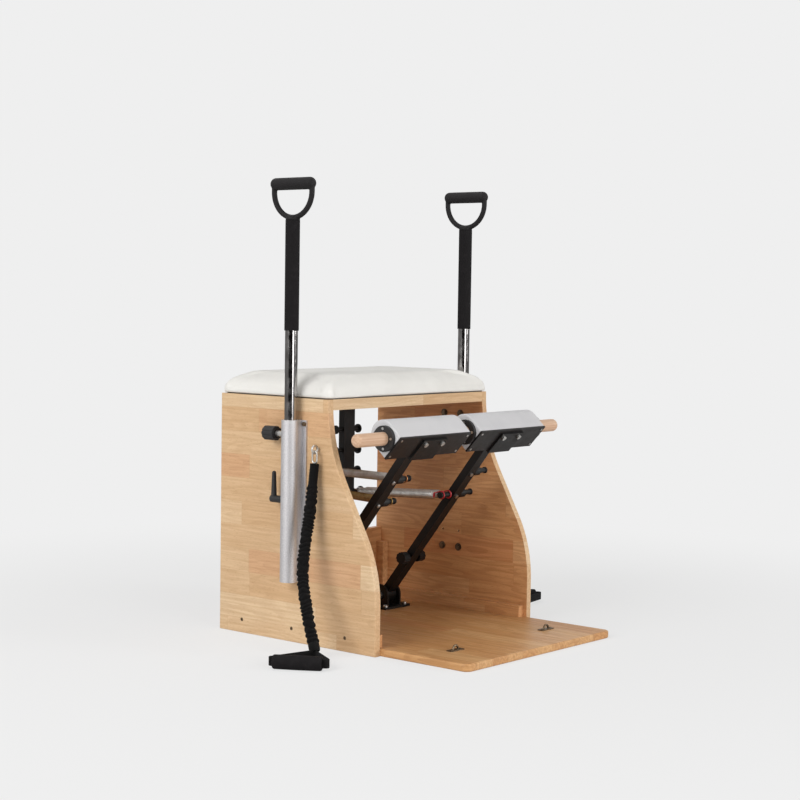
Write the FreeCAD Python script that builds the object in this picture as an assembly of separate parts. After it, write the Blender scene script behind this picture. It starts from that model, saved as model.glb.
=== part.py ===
"""Pilates chair with split sprung pedals, height-set side handles and floor bands.

Millimetres. X runs across the chair, -Y is the front, +Z is up, and the origin lies on the floor
in the middle of the chair's footprint. "Reach" means the distance forward of the chair's back edge.
"""
import FreeCAD, Part
import math
import os

os.makedirs("parts", exist_ok=True)
V = FreeCAD.Vector
SIDES = (("left", -1), ("right", 1))

# Carcass boards
base_depth = 760.0
body_width = 602.0
panel_height = 580.0
panel_thickness = 18.0
panel_top_depth = 352.0
panel_foot_depth = 505.0
panel_foot_rise = 113.0
panel_lip = 5.0
panel_bend = 1.585           # turn of the front curve over its chord angle: 1 straight, 2 no straight
panel_upper_share = 0.55     # share of the two front radii that the upper, hollow arc has
panel_edge_round = 2.5
base_thickness = 18.0
base_corner_radius = 18.0
base_edge_round = 4.0
back_panel_height = 200.0
seat_board_thickness = 25.0
cleat_width = 20.0
cleat_height = 28.0
cleat_end_reach = 495.0
corner_cleat_depth = 24.0
corner_cleat_height = 145.0
seat_dowel_diameter = 8.0
seat_dowel_depth = 12.0      # how far a dowel goes into each of the two boards
seat_dowel_reaches = (50.0, 135.0, 215.0, 300.0)

# Seat cushion
cushion_side_inset = 2.0
cushion_back_inset = 3.0
cushion_board_thickness = 2.5
cushion_board_inset = 3.0
cushion_height = 51.5
cushion_corner_radius = 14.0
cushion_pull = 2.5           # how far a side is drawn in halfway along
cushion_corner_growth = 0.5  # how much rounder the corners get for each length of inset
cushion_corner_share = 0.8   # widest corner, of half a ring's depth
cushion_profile = (          # inset as a share of half the depth, height as a share of the cushion's
    (0.012, 0.0), (0.0, 0.12), (0.012, 0.32), (0.05, 0.52), (0.12, 0.68), (0.25, 0.82), (0.44, 0.92),
    (0.66, 0.98), (0.86, 1.0),
)

# Spring post and its pegs
post_reach = 142.0
post_width = 40.0
post_depth = 18.0
post_wall = 2.5
post_end_margin = 20.0       # lowest peg to the post's foot
post_flange_width = 100.0
post_flange_depth = 60.0
post_flange_thickness = 5.0
post_peg_diameter = 10.0
post_peg_drop = 70.0         # seat board's underside to the top peg
post_peg_pitch = 53.0
post_peg_count = 4
post_peg_overhang = 24.0
post_double_overhang = 37.0  # lowest peg's right end, which holds two springs
peg_head_diameter = 22.0
peg_head_thickness = 4.0
peg_clearance = 0.05

# Pedal pivots
pivot_reach = 152.0
pivot_height = 50.0
pivot_pin_diameter = 14.0
pivot_running_gap = 0.05
bush_wall = 2.0
bush_flange_width = 4.0
bush_share = 0.4             # of the hub's length, for each bush
bush_flange_thickness = 2.0
hub_diameter = 40.0
hub_length = 36.0
thrust_gap = 0.2
cheek_thickness = 6.0
cheek_radius = 28.0
bracket_flange_thickness = 6.0
bracket_flange_overhang = 22.0
bracket_flange_depth = 84.0
pin_head_diameter = 22.0
pin_head_length = 6.0

# Pedals, measured across and through the pad, around the dowel
pedal_reach = 508.0
pedal_height = 499.0
pedal_length = 258.0
pedal_gap = 40.0
pedal_width = 69.4
pedal_front = 29.0           # dowel centre to the flat face behind the plate
pedal_back_round_offset = 12.0
pedal_plate_angle = 43.0     # how far below straight ahead the plate looks
pad_thickness = 6.0
pad_end_thickness = 4.0
plate_thickness = 4.0
plate_screw_inset = 9.0
collar_diameter = 60.0
collar_thickness = 8.0
dowel_diameter = 31.0
dowel_length = 766.0
dowel_end_round = 11.0
dowel_gap = 0.4

# Pedal arms
arm_width = 30.0
arm_depth = 20.0
arm_wall = 2.5
arm_shelf_thickness = 6.0
arm_flange_thickness = 5.0
arm_flange_width = 84.0
arm_flange_top = 25.0        # above the dowel, along the plate
arm_bolt_up = 13.5
arm_bolt_spread = 60.0
arm_bolt_diameter = 6.0
arm_bolt_head_diameter = 12.0
arm_peg_diameter = 13.0
arm_peg_low_place = 355.0    # from the pivot, along the arm
arm_peg_high_place = 429.0
arm_peg_overhang = 52.0      # on each arm's right side
arm_peg_hook_overhang = 42.0 # on the left of the right arm, lower peg only
arm_peg_head_diameter = 16.0
arm_peg_collar_diameter = 22.0
arm_peg_collar_length = 22.0
peg_screw_diameter = 5.0
peg_screw_head_diameter = 10.0
peg_screw_head_height = 3.0
peg_screw_depth = 8.0        # into the end of a peg
knob_peg_place = 134.0
knob_peg_diameter = 10.0
knob_peg_seat = 1.0          # how far the peg goes into each knob
knob_diameter = 30.0
knob_length = 22.0
knob_standoff = 4.0
knob_flutes = 10
knob_flute_radius = 2.6

# Springs
spring_wire = 3.0
spring_diameter = 21.0
spring_end_radius = 4.6
spring_curls = 24
spring_hook_gap = 0.3
spring_hook_play = 1.2
spring_lead = 7.0            # straight wire between a hook and the first curl
left_spring_share = 0.68     # where the left springs hang along their arm pegs' overhang
right_spring_shares = (0.16, 0.8)
right_post_shares = (0.8, 0.07)     # and where the right ones hang on their one post peg

# Side handles
handle_reach = 256.0
handle_standoff = 24.0       # panel face to pole axis
sleeve_drop = 51.0           # panel's top to the sleeve's
sleeve_length = 381.0
sleeve_diameter = 43.0
sleeve_bore = 38.0
sleeve_flange_width = 64.0
sleeve_web_inset = 2.0
sleeve_flange_thickness = 4.5
sleeve_bolt_spread = 53.0
sleeve_bolt_head_diameter = 10.5
sleeve_bolt_head_height = 3.5
sleeve_washer_diameter = 20.0
sleeve_washer_thickness = 1.5
sleeve_nut_diameter = 12.0
sleeve_nut_height = 4.5
sleeve_top_bolt_inset = 9.0
sleeve_low_bolt_inset = 24.5
liner_length = 22.0
pole_diameter = 30.0
pole_wall = 2.5
pole_gap = 0.3
pole_end_margin = 50.0       # pole's lower end to its first hole
pole_hole_diameter = 8.0
pole_hole_pitch = 40.0
pole_hole_count = 11
pole_holes_below = 6         # setting holes below the one at the plunger
foam_diameter = 34.0
foam_rise = 158.0            # panel's top to the foam's lower end
foam_length = 256.0
loop_height = 99.0
loop_width = 136.0
loop_bar_diameter = 29.0
loop_rod_diameter = 13.0
loop_rod_inset = 8.0         # bar's end to the middle of the bent rod under it
loop_neck_height = 10.5
loop_neck_round = 5.0
plunger_drop = 34.0          # sleeve's top to the plunger
plunger_neck_diameter = 14.0
plunger_neck_length = 22.0
plunger_knob_diameter = 34.0
plunger_knob_length = 34.0
plunger_pin_diameter = 7.0
plunger_travel_gap = 1.0
lever_drop = 155.0           # plunger to the lever
lever_stud_diameter = 9.0
lever_hub_diameter = 17.0
lever_hub_length = 36.0
lever_hub_gap = 1.0
lever_arm_length = 66.0
lever_arm_foot_diameter = 14.0
lever_arm_tip_diameter = 10.0

# Screws and bolts
screw_diameter = 5.0
screw_head_diameter = 9.0
screw_head_height = 2.5
screw_length = 30.0
post_screw_share = 0.7       # of the seat board's thickness
screw_gap = 0.05
cleat_screw_reaches = (77.0, 243.0, 413.0)
bolt_diameter = 8.0
bolt_head_diameter = 14.0
bolt_head_height = 5.0
bolt_depth = 12.0
small_screw_diameter = 3.0
small_screw_head = 6.0
small_screw_depth = 8.0
spare_hole_diameter = 6.0
spare_hole_depth = 9.0
spare_hole_rise = 67.0       # above the sleeve's lower end

# Floor eyes and band fittings
pad_eye_offset = 177.0
pad_eye_reach = 641.0
pad_eye_plate_length = 46.0
pad_eye_plate_width = 16.0
pad_eye_plate_thickness = 2.5
pad_eye_wire = 5.0
pad_eye_radius = 9.0
band_eye_reach = 326.0
band_eye_height = 464.0
band_eye_wire = 5.0
band_eye_radius = 9.0
band_eye_shank = 14.0
band_eye_neck = 6.0
hook_wire = 4.5
hook_length = 28.0
hook_radius = 7.0
hook_gap = 0.3
band_diameter = 25.0
ferrule_diameter = 27.0
ferrule_length = 20.0
grip_diameter = 32.0
grip_length = 112.0
strap_height = 20.0
strap_thickness = 3.0
strap_gap = 0.15             # strap's edges to the grip's bore
strap_overrun = 18.0         # how far the strap stands out past each end of the grip

# Band routes below the snap hooks: sideways from the panel's face, reach, height
left_band_route = (
    (24.0, 328.0, 374.0), (38.0, 332.0, 303.0), (58.0, 338.0, 247.0), (80.0, 351.0, 181.0),
    (95.0, 376.0, 128.0), (108.0, 401.0, 76.0), (118.0, 424.0, 38.0),
)
right_band_route = (
    (24.0, 328.0, 374.0), (38.0, 331.0, 303.0), (60.0, 334.0, 247.0), (88.0, 337.0, 190.0),
    (112.0, 341.0, 135.0), (132.0, 348.0, 82.0), (146.0, 356.0, 42.0),
)
left_grip_centre = (218.0, 470.0)
left_grip_turn = 59.0        # degrees from straight in towards the front
right_grip_centre = (235.0, 283.0)
right_grip_turn = 133.0

# Places that follow from the sizes above
half_width = body_width / 2
inner_half = half_width - panel_thickness
seat_underside = panel_height - seat_board_thickness
cushion_half_depth = (panel_top_depth - cushion_back_inset) / 2
arm_peg_places = (arm_peg_low_place, arm_peg_high_place)
post_length = post_peg_drop + (post_peg_count - 1) * post_peg_pitch + post_end_margin
sleeve_top = panel_height - sleeve_drop
sleeve_bottom = sleeve_top - sleeve_length
sleeve_bolt_levels = (sleeve_bottom + sleeve_low_bolt_inset, sleeve_top - sleeve_top_bolt_inset)
plunger_height = sleeve_top - plunger_drop
lever_height = plunger_height - lever_drop
pole_hole_first = plunger_height - pole_holes_below * pole_hole_pitch
pole_bottom = pole_hole_first - pole_end_margin
foam_bottom = panel_height + foam_rise
loop_bottom = foam_bottom + foam_length
loop_top = loop_bottom + loop_height
arm_offset = (pedal_length + pedal_gap) / 2
handle_offset = half_width + handle_standoff
grip_bore = math.hypot(strap_height, strap_thickness) + 2 * strap_gap
plate_angle = math.radians(pedal_plate_angle)


def y_of(reach):
    """Y of a point that lies this far forward of the back edge."""
    return base_depth / 2 - reach


def box(x0, x1, reach0, reach1, z0, z1):
    """Box between two X, two reaches and two heights."""
    x_low, x_high = sorted((x0, x1))
    return Part.makeBox(x_high - x_low, reach1 - reach0, z1 - z0, V(x_low, y_of(reach1), z0))


def rod(start, end, radius):
    """Round bar between two points."""
    axis = end - start
    return Part.makeCylinder(radius, axis.Length, start, axis)


def tube(start, end, outer, inner):
    """Round tube between two points."""
    return rod(start, end, outer).cut(rod(start, end, inner))


def fuse(shapes):
    """One solid from touching shapes, with seams between flat faces removed."""
    return shapes[0].multiFuse(list(shapes[1:])).removeSplitter()


def cut(shape, tools):
    """Shape with every tool taken away."""
    return shape.cut(tools) if tools else shape


def group(shapes):
    """Separate solids kept together."""
    return Part.makeCompound(shapes)


def round_edges(shape, radius, wanted):
    """Fillet the edges that the test picks by their middle and their ends."""
    edges = [edge for edge in shape.Edges if wanted(edge)]
    return shape.makeFillet(radius, edges) if edges else shape


def save(name, shape):
    """Write one sub-part."""
    shape.exportStep("parts/%s.step" % name)


def arc3(first, middle, last):
    """Edge of the arc through three points."""
    return Part.Arc(first, middle, last).toShape()


def line(first, last):
    """Straight edge."""
    return Part.LineSegment(first, last).toShape()


def arc_from(start, direction, end):
    """Edge that leaves start along a direction and reaches end on one arc."""
    chord = end - start
    along = chord.dot(direction)
    aside = chord - direction * along
    if aside.Length < 1e-7 * chord.Length:
        return line(start, end)
    aside = aside / aside.Length
    across = chord.dot(aside)
    radius = chord.Length ** 2 / (2 * across)
    half = math.atan2(across, along)
    middle = start + direction * (radius * math.sin(half)) + aside * (radius * (1 - math.cos(half)))
    return arc3(start, middle, end)


def biarc(start, start_direction, end, end_direction):
    """Two tangent arcs between two points with given directions, and the point where they meet."""
    chord = end - start
    total = start_direction + end_direction
    spread = 2 * (1 - start_direction.dot(end_direction))
    reach = chord.dot(total)
    if abs(spread) < 1e-9:
        size = chord.Length ** 2 / (2 * reach)
    else:
        size = (-reach + math.sqrt(reach ** 2 + spread * chord.dot(chord))) / spread
    meeting = (start + end + (start_direction - end_direction) * size) * 0.5
    middle = meeting - (start + start_direction * size)
    middle = middle / middle.Length
    return [arc_from(start, start_direction, meeting), arc_from(meeting, middle, end)]


def threaded(point, axis, shank_radius, shank, head_radius, head):
    """Screw whose head stands out along the axis from a point on the surface."""
    return fuse([
        rod(point - axis * shank, point, shank_radius),
        rod(point, point + axis * head, head_radius),
    ])


def hexagon_bolt(point, axis, sideways):
    """Bolt with a six-sided head standing on a surface."""
    other = axis.cross(sideways)
    radius = bolt_head_diameter / 2
    corners = []
    for index in range(7):
        angle = math.radians(60 * index)
        corners.append(point + (sideways * math.cos(angle) + other * math.sin(angle)) * radius)
    head = Part.Face(Part.makePolygon(corners)).extrude(axis * bolt_head_height)
    return fuse([head, rod(point - axis * bolt_depth, point, bolt_diameter / 2)])


def panel_outline():
    """Edges of a side panel at X = 0: straight back and top, hollow-then-full curve in front."""
    drop = panel_height - panel_lip - panel_foot_rise
    reach = panel_foot_depth - panel_top_depth
    turn = panel_bend * math.atan2(reach, drop)
    radii = (drop * math.sin(turn) - reach * math.cos(turn)) / (1 - math.cos(turn))
    upper = radii * panel_upper_share
    lower = radii - upper

    def hollow(angle):
        return V(0, y_of(panel_top_depth + upper * (1 - math.cos(angle))),
                 panel_height - panel_lip - upper * math.sin(angle))

    def full(angle):
        return V(0, y_of(panel_foot_depth - lower * (1 - math.cos(angle))),
                 panel_foot_rise + lower * math.sin(angle))

    back_foot = V(0, y_of(0), 0)
    back_top = V(0, y_of(0), panel_height)
    front_top = V(0, y_of(panel_top_depth), panel_height)
    front_foot = V(0, y_of(panel_foot_depth), 0)
    return [
        line(back_foot, back_top), line(back_top, front_top), line(front_top, hollow(0)),
        arc3(hollow(0), hollow(turn / 2), hollow(turn)), line(hollow(turn), full(turn)),
        arc3(full(turn), full(turn / 2), full(0)), line(full(0), front_foot), line(front_foot, back_foot),
    ]


def cleat_screw_points(side):
    """Heads of the screws through a panel into its base cleat."""
    height = base_thickness + cleat_height / 2
    return [V(side * half_width, y_of(reach), height) for reach in cleat_screw_reaches]


def sleeve_bolt_points(side):
    """Heads of the bolts through a sleeve's flange into its panel."""
    face = side * (half_width + sleeve_flange_thickness)
    return [V(face, y_of(handle_reach + way * sleeve_bolt_spread / 2), level)
            for level in sleeve_bolt_levels for way in (-1, 1)]


def seat_dowels():
    """Wooden dowels between the seat board's ends and the side panels."""
    height = seat_underside + seat_board_thickness / 2
    return [rod(V(side * (inner_half - seat_dowel_depth), y_of(reach), height),
                V(side * (inner_half + seat_dowel_depth), y_of(reach), height), seat_dowel_diameter / 2)
            for _, side in SIDES for reach in seat_dowel_reaches]


def cleat_screws(side):
    """Screws through a panel, their heads flush with its face."""
    out = V(side, 0, 0)
    return [threaded(point - out * screw_head_height, out, screw_diameter / 2,
                     screw_length - screw_head_height, screw_head_diameter / 2, screw_head_height)
            for point in cleat_screw_points(side)]


def sleeve_bolts(side):
    """Button-headed bolts that hold a sleeve, each with a washer and nut on the panel's inner face."""
    out = V(side, 0, 0)
    bolts = []
    for point in sleeve_bolt_points(side):
        face = point - out * (sleeve_flange_thickness + panel_thickness)
        seat = face - out * sleeve_washer_thickness
        washer = rod(face, seat, sleeve_washer_diameter / 2)
        nut = rod(seat, seat - out * sleeve_nut_height, sleeve_nut_diameter / 2)
        bolt = threaded(point, out, screw_diameter / 2, sleeve_flange_thickness + panel_thickness,
                        sleeve_bolt_head_diameter / 2, sleeve_bolt_head_height)
        bolts.append(fuse([bolt, washer, nut]))
    return bolts


def side_panel(side):
    """Curved plywood side with its screw, bolt, dowel and eye holes."""
    face = Part.Face(Part.Wire(panel_outline()))
    panel = face.extrude(V(panel_thickness, 0, 0))
    panel.translate(V(inner_half if side > 0 else -half_width, 0, 0))
    outer = side * half_width

    def on_outer_rim(edge):
        return all(abs(vertex.X - outer) < 1e-6 for vertex in edge.Vertexes)

    panel = round_edges(panel, panel_edge_round, on_outer_rim)
    out = V(side, 0, 0)
    tools = []
    for point in cleat_screw_points(side):
        tools.append(rod(point - out * (2 * panel_thickness), point, screw_diameter / 2 + screw_gap))
        tools.append(rod(point - out * screw_head_height, point, screw_head_diameter / 2 + screw_gap))
    for point in sleeve_bolt_points(side):
        tools.append(rod(point - out * (3 * panel_thickness), point, screw_diameter / 2 + screw_gap))
    height = seat_underside + seat_board_thickness / 2
    for reach in seat_dowel_reaches:
        tools.append(rod(V(side * inner_half, y_of(reach), height),
                         V(side * (inner_half + seat_dowel_depth), y_of(reach), height),
                         seat_dowel_diameter / 2 + screw_gap))
    for way in (-1, 1):
        start = V(side * inner_half, y_of(handle_reach + way * sleeve_bolt_spread / 2),
                  sleeve_bottom + spare_hole_rise)
        tools.append(rod(start, start + out * spare_hole_depth, spare_hole_diameter / 2))
    eye = V(side * half_width, y_of(band_eye_reach), band_eye_height)
    tools.append(rod(eye - out * band_eye_shank, eye, band_eye_wire / 2 + screw_gap))
    return cut(panel, tools)


def bracket_bolt_points(side):
    """Feet of the bolt heads on a pivot bracket's flange."""
    across = cheek_outer_half() + bracket_flange_overhang / 2
    along = bracket_flange_depth / 2 - bracket_flange_overhang / 2
    top = base_thickness + bracket_flange_thickness
    return [V(side * arm_offset + i * across, y_of(pivot_reach) + j * along, top)
            for i in (-1, 1) for j in (-1, 1)]


def pad_eye_screw_points(side):
    """Feet of the screw heads on a floor eye's plate."""
    spread = pad_eye_plate_length / 2 - small_screw_head
    top = base_thickness + pad_eye_plate_thickness
    return [V(side * pad_eye_offset + way * spread, y_of(pad_eye_reach), top) for way in (-1, 1)]


def base_board():
    """Floor board between the panels, with round front corners and softened front edges."""
    board = box(-inner_half, inner_half, panel_thickness, base_depth, 0, base_thickness)
    front = y_of(base_depth)

    def upright_front(edge):
        ends = edge.Vertexes
        return all(abs(end.Y - front) < 1e-6 for end in ends) and abs(ends[0].Z - ends[1].Z) > 1

    board = round_edges(board, base_corner_radius, upright_front)

    def front_rim(edge):
        ends = edge.Vertexes
        level = abs(ends[0].Z - ends[1].Z) < 1e-6
        return level and any(end.Y < y_of(panel_foot_depth) for end in ends)

    board = round_edges(board, base_edge_round, front_rim)
    down = V(0, 0, 1)
    tools = []
    for _, side in SIDES:
        for point in bracket_bolt_points(side):
            tools.append(rod(point - down * bolt_depth, point, bolt_diameter / 2 + screw_gap))
        for point in pad_eye_screw_points(side):
            tools.append(rod(point - down * small_screw_depth, point, small_screw_diameter / 2 + screw_gap))
    return cut(board, tools)


def seat_board():
    """Board under the cushion, flush with the panels' tops, with dowel and post screw holes."""
    board = box(-inner_half, inner_half, 0, panel_top_depth, seat_underside, panel_height)
    tools = []
    height = seat_underside + seat_board_thickness / 2
    for _, side in SIDES:
        for reach in seat_dowel_reaches:
            tools.append(rod(V(side * (inner_half - seat_dowel_depth), y_of(reach), height),
                             V(side * inner_half, y_of(reach), height), seat_dowel_diameter / 2 + screw_gap))
    for point in post_screw_points():
        tools.append(rod(point, point + V(0, 0, post_screw_length()), screw_diameter / 2 + screw_gap))
    return cut(board, tools)


def cleats():
    """Strips along the base board and up the back corners."""
    strips = []
    start = panel_thickness + corner_cleat_depth
    for _, side in SIDES:
        edge = side * inner_half
        inside = side * (inner_half - cleat_width)
        strip = box(edge, inside, start, cleat_end_reach, base_thickness, base_thickness + cleat_height)
        out = V(side, 0, 0)
        holes = [rod(point - out * screw_length, point, screw_diameter / 2 + screw_gap)
                 for point in cleat_screw_points(side)]
        strips.append(cut(strip, holes))
        strips.append(box(edge, inside, panel_thickness, start, base_thickness,
                          base_thickness + corner_cleat_height))
    return group(strips)


def cushion_ring(inset, height):
    """Plan outline of the cushion at one height: round corners, sides drawn in between them."""
    half_x = half_width - cushion_side_inset - inset
    half_y = cushion_half_depth - inset
    middle = y_of((panel_top_depth + cushion_back_inset) / 2)
    radius = min(cushion_corner_radius + cushion_corner_growth * inset, cushion_corner_share * half_y)
    corner = radius * (1 - math.sqrt(0.5))
    pull = cushion_pull * half_y / cushion_half_depth

    def at(x, y):
        return V(x, middle + y, height)

    edges = []
    for turn in range(4):
        far, near = (half_x, half_y) if turn % 2 == 0 else (half_y, half_x)

        def put(along, aside):
            spot = ((along, -aside), (aside, along), (-along, aside), (-aside, -along))[turn]
            return at(*spot)

        edges.append(arc3(put(-far + radius, near), put(0, near - pull), put(far - radius, near)))
        edges.append(arc3(put(far - radius, near), put(far - corner, near - corner), put(far, near - radius)))
    return Part.Wire(edges)


def seat_cushion():
    """Crowned pad whose sides swell out below and round in at the top."""
    low = panel_height + cushion_board_thickness
    rings = [cushion_ring(cushion_half_depth * inset, low + cushion_height * share)
             for inset, share in cushion_profile]
    return Part.makeLoft(rings, True, False)


def cushion_board():
    """Thin backing board that shows as a dark line under the cushion."""
    ring = cushion_ring(cushion_board_inset, panel_height)
    return Part.Face(ring).extrude(V(0, 0, cushion_board_thickness))


def post_screw_points():
    """Feet of the screws through the post's top flange."""
    level = seat_underside - post_flange_thickness
    spread_x = post_flange_width / 2 - screw_head_diameter
    spread_y = post_flange_depth / 2 - screw_head_diameter
    return [V(i * spread_x, y_of(post_reach) + j * spread_y, level) for i in (-1, 1) for j in (-1, 1)]


def post_screw_length():
    """Screw length that stops short of the seat board's top."""
    return post_flange_thickness + seat_board_thickness * post_screw_share


def post_peg_levels():
    """Heights of the post's pegs, lowest first."""
    top = seat_underside - post_peg_drop
    return [top - index * post_peg_pitch for index in reversed(range(post_peg_count))]


def spring_post():
    """Box tube under the seat with a screwed flange, a closed foot and peg holes."""
    reach0 = post_reach - post_depth / 2
    reach1 = post_reach + post_depth / 2
    outer = box(-post_width / 2, post_width / 2, reach0, reach1, seat_underside - post_length,
                seat_underside)
    flange = box(-post_flange_width / 2, post_flange_width / 2, post_reach - post_flange_depth / 2,
                 post_reach + post_flange_depth / 2, seat_underside - post_flange_thickness, seat_underside)
    hollow = box(-post_width / 2 + post_wall, post_width / 2 - post_wall, reach0 + post_wall,
                 reach1 - post_wall, seat_underside - post_length + post_wall,
                 seat_underside - post_flange_thickness)
    tools = [hollow]
    for level in post_peg_levels():
        tools.append(rod(V(-post_width, y_of(post_reach), level), V(post_width, y_of(post_reach), level),
                         post_peg_diameter / 2 + peg_clearance))
    for point in post_screw_points():
        tools.append(rod(point, point + V(0, 0, post_flange_thickness), screw_diameter / 2 + screw_gap))
    return cut(fuse([outer, flange]), tools)


def post_pegs():
    """Cross pegs with disc heads for the spring hooks."""
    y = y_of(post_reach)
    pegs = []
    for number, level in enumerate(post_peg_levels()):
        parts = []
        for side in (-1, 1):
            double = side > 0 and number == 0
            tip = post_width / 2 + (post_double_overhang if double else post_peg_overhang)
            parts.append(rod(V(0, y, level), V(side * tip, y, level), post_peg_diameter / 2))
            parts.append(rod(V(side * (tip - peg_head_thickness), y, level), V(side * tip, y, level),
                             peg_head_diameter / 2))
        pegs.append(fuse(parts))
    return group(pegs)


def cheek_inner_half():
    """Half the room between a bracket's cheeks."""
    return hub_length / 2 + bush_flange_thickness + thrust_gap


def cheek_outer_half():
    """Half the width over a bracket's cheeks."""
    return cheek_inner_half() + cheek_thickness


def pivot_bracket(side):
    """Bolted flange with two arch-topped cheeks that carry a pivot pin."""
    x = side * arm_offset
    top = base_thickness + bracket_flange_thickness
    width = cheek_outer_half() + bracket_flange_overhang
    y = y_of(pivot_reach)
    parts = [box(x - width, x + width, pivot_reach - bracket_flange_depth / 2,
                 pivot_reach + bracket_flange_depth / 2, base_thickness, top)]
    for way in (-1, 1):
        near = x + way * cheek_inner_half()
        far = x + way * cheek_outer_half()
        parts.append(box(near, far, pivot_reach - cheek_radius, pivot_reach + cheek_radius, top,
                         pivot_height))
        parts.append(rod(V(near, y, pivot_height), V(far, y, pivot_height), cheek_radius))
    hole = rod(V(x - width, y, pivot_height), V(x + width, y, pivot_height),
               pivot_pin_diameter / 2 + peg_clearance)
    up = V(0, 0, 1)
    holes = [rod(point - up * bracket_flange_thickness, point, bolt_diameter / 2 + screw_gap)
             for point in bracket_bolt_points(side)]
    below = box(x - width, x + width, pivot_reach - bracket_flange_depth / 2,
                pivot_reach + bracket_flange_depth / 2, base_thickness - hub_diameter, base_thickness)
    return cut(fuse(parts), [hole, below] + holes)


def pivot_pins():
    """One headed pin with a locknut for each pedal arm."""
    pins = []
    for _, side in SIDES:
        x = side * arm_offset
        y = y_of(pivot_reach)
        face = cheek_outer_half()
        end = face + pin_head_length
        parts = [rod(V(x - end, y, pivot_height), V(x + end, y, pivot_height), pivot_pin_diameter / 2)]
        for way in (-1, 1):
            parts.append(rod(V(x + way * face, y, pivot_height), V(x + way * end, y, pivot_height),
                             pin_head_diameter / 2))
        pins.append(fuse(parts))
    return group(pins)


def hub_bushes(side):
    """Two flanged bushes pressed into an arm's hub."""
    bore = pivot_pin_diameter / 2 + pivot_running_gap
    outer = bore + bush_wall
    bushes = []
    for way in (-1, 1):
        start = V(side * arm_offset, y_of(pivot_reach), pivot_height) + V(way * hub_length / 2, 0, 0)
        step = V(way, 0, 0)
        sleeve = rod(start - step * (hub_length * bush_share), start, outer)
        flange = rod(start, start + step * bush_flange_thickness, outer + bush_flange_width)
        hole = rod(start - step * hub_length, start + step * hub_length, bore)
        bushes.append(fuse([sleeve, flange]).cut(hole))
    return group(bushes)


def pedal_centre(side):
    """Middle of a pedal, on the dowel's axis."""
    return V(side * arm_offset, y_of(pedal_reach), pedal_height)


def plate_normal():
    """Direction the pedal plates look: forward and down."""
    return V(0, -math.cos(plate_angle), -math.sin(plate_angle))


def plate_up():
    """Direction up along the pedal plates."""
    return V(0, -math.sin(plate_angle), math.cos(plate_angle))


def in_pedal(side, across, up, out):
    """Point placed from a pedal's middle: along X, up the plate and out of the plate."""
    return pedal_centre(side) + V(across, 0, 0) + plate_up() * up + plate_normal() * out


def pedal_block(side, length, up0, up1, out0, out1):
    """Box that lies square to a pedal's plate."""
    corners = [in_pedal(side, -length / 2, up, out)
               for up, out in ((up0, out0), (up1, out0), (up1, out1), (up0, out1), (up0, out0))]
    return Part.Face(Part.makePolygon(corners)).extrude(V(length, 0, 0))


def pedal_form(side, length, skin):
    """D-shaped bar: flat at the plate, straight sides, round back, a skin's thickness inside the pad."""
    half = pedal_width / 2 - skin
    centre_out = -pedal_back_round_offset
    start = -length / 2
    top_front = in_pedal(side, start, half, pedal_front)
    top_back = in_pedal(side, start, half, centre_out)
    back = in_pedal(side, start, 0, centre_out - half)
    low_back = in_pedal(side, start, -half, centre_out)
    low_front = in_pedal(side, start, -half, pedal_front)
    wire = Part.Wire([line(top_front, top_back), arc3(top_back, back, low_back),
                      line(low_back, low_front), line(low_front, top_front)])
    return Part.Face(wire).extrude(V(length, 0, 0))


def dowel_bore(side):
    """Cutter for the dowel's way through a pedal."""
    reach = V(pedal_length, 0, 0)
    middle = pedal_centre(side)
    return rod(middle - reach, middle + reach, dowel_diameter / 2 + dowel_gap)


def plate_screw_places():
    """Across and up of the corner screws of a pedal plate."""
    across = pedal_length / 2 - plate_screw_inset
    up = pedal_width / 2 - plate_screw_inset
    return [(i * across, j * up) for i in (-1, 1) for j in (-1, 1)]


def arm_bolt_places():
    """Across and up of the bolts through an arm's flange."""
    return [(way * arm_bolt_spread / 2, arm_bolt_up) for way in (-1, 1)]


def collar_screw_points(side, end):
    """Feet of the screw heads on a pedal's end collar."""
    face = end * (pedal_length / 2 + collar_thickness)
    ring = (collar_diameter + dowel_diameter) / 4 + dowel_gap
    points = []
    for index in range(4):
        angle = math.radians(45 + 90 * index)
        points.append(in_pedal(side, face, ring * math.cos(angle), ring * math.sin(angle)))
    return points


def pedal_fasteners(side):
    """Corner screws, arm bolts, peg screws and collar screws of one pedal."""
    out = plate_normal()
    shapes = []
    for across, up in plate_screw_places():
        point = in_pedal(side, across, up, pedal_front + plate_thickness)
        shapes.append(threaded(point, out, small_screw_diameter / 2, small_screw_depth + plate_thickness,
                               small_screw_head / 2, screw_head_height / 2))
    for across, up in arm_bolt_places():
        face = pedal_front + plate_thickness + arm_flange_thickness
        point = in_pedal(side, across, up, face)
        depth = arm_flange_thickness + plate_thickness + small_screw_depth
        shapes.append(threaded(point, out, arm_bolt_diameter / 2, depth, arm_bolt_head_diameter / 2,
                               bolt_head_height))
    _, _, front = arm_line(side)
    grip = (arm_depth - arm_peg_diameter) / 2 - screw_gap
    for point in peg_screw_points(side):
        shapes.append(threaded(point, front, peg_screw_diameter / 2, grip, peg_screw_head_diameter / 2,
                               peg_screw_head_height))
    for place in arm_peg_places:
        shapes.append(threaded(arm_peg_ends(side, place)[1], V(1, 0, 0), peg_screw_diameter / 2,
                               peg_screw_depth, peg_screw_head_diameter / 2, peg_screw_head_height))
    for end in (-1, 1):
        for point in collar_screw_points(side, end):
            shapes.append(threaded(point, V(end, 0, 0), small_screw_diameter / 2,
                                   collar_thickness + small_screw_depth, small_screw_head / 2,
                                   screw_head_height / 2))
    return group(shapes)


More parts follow.
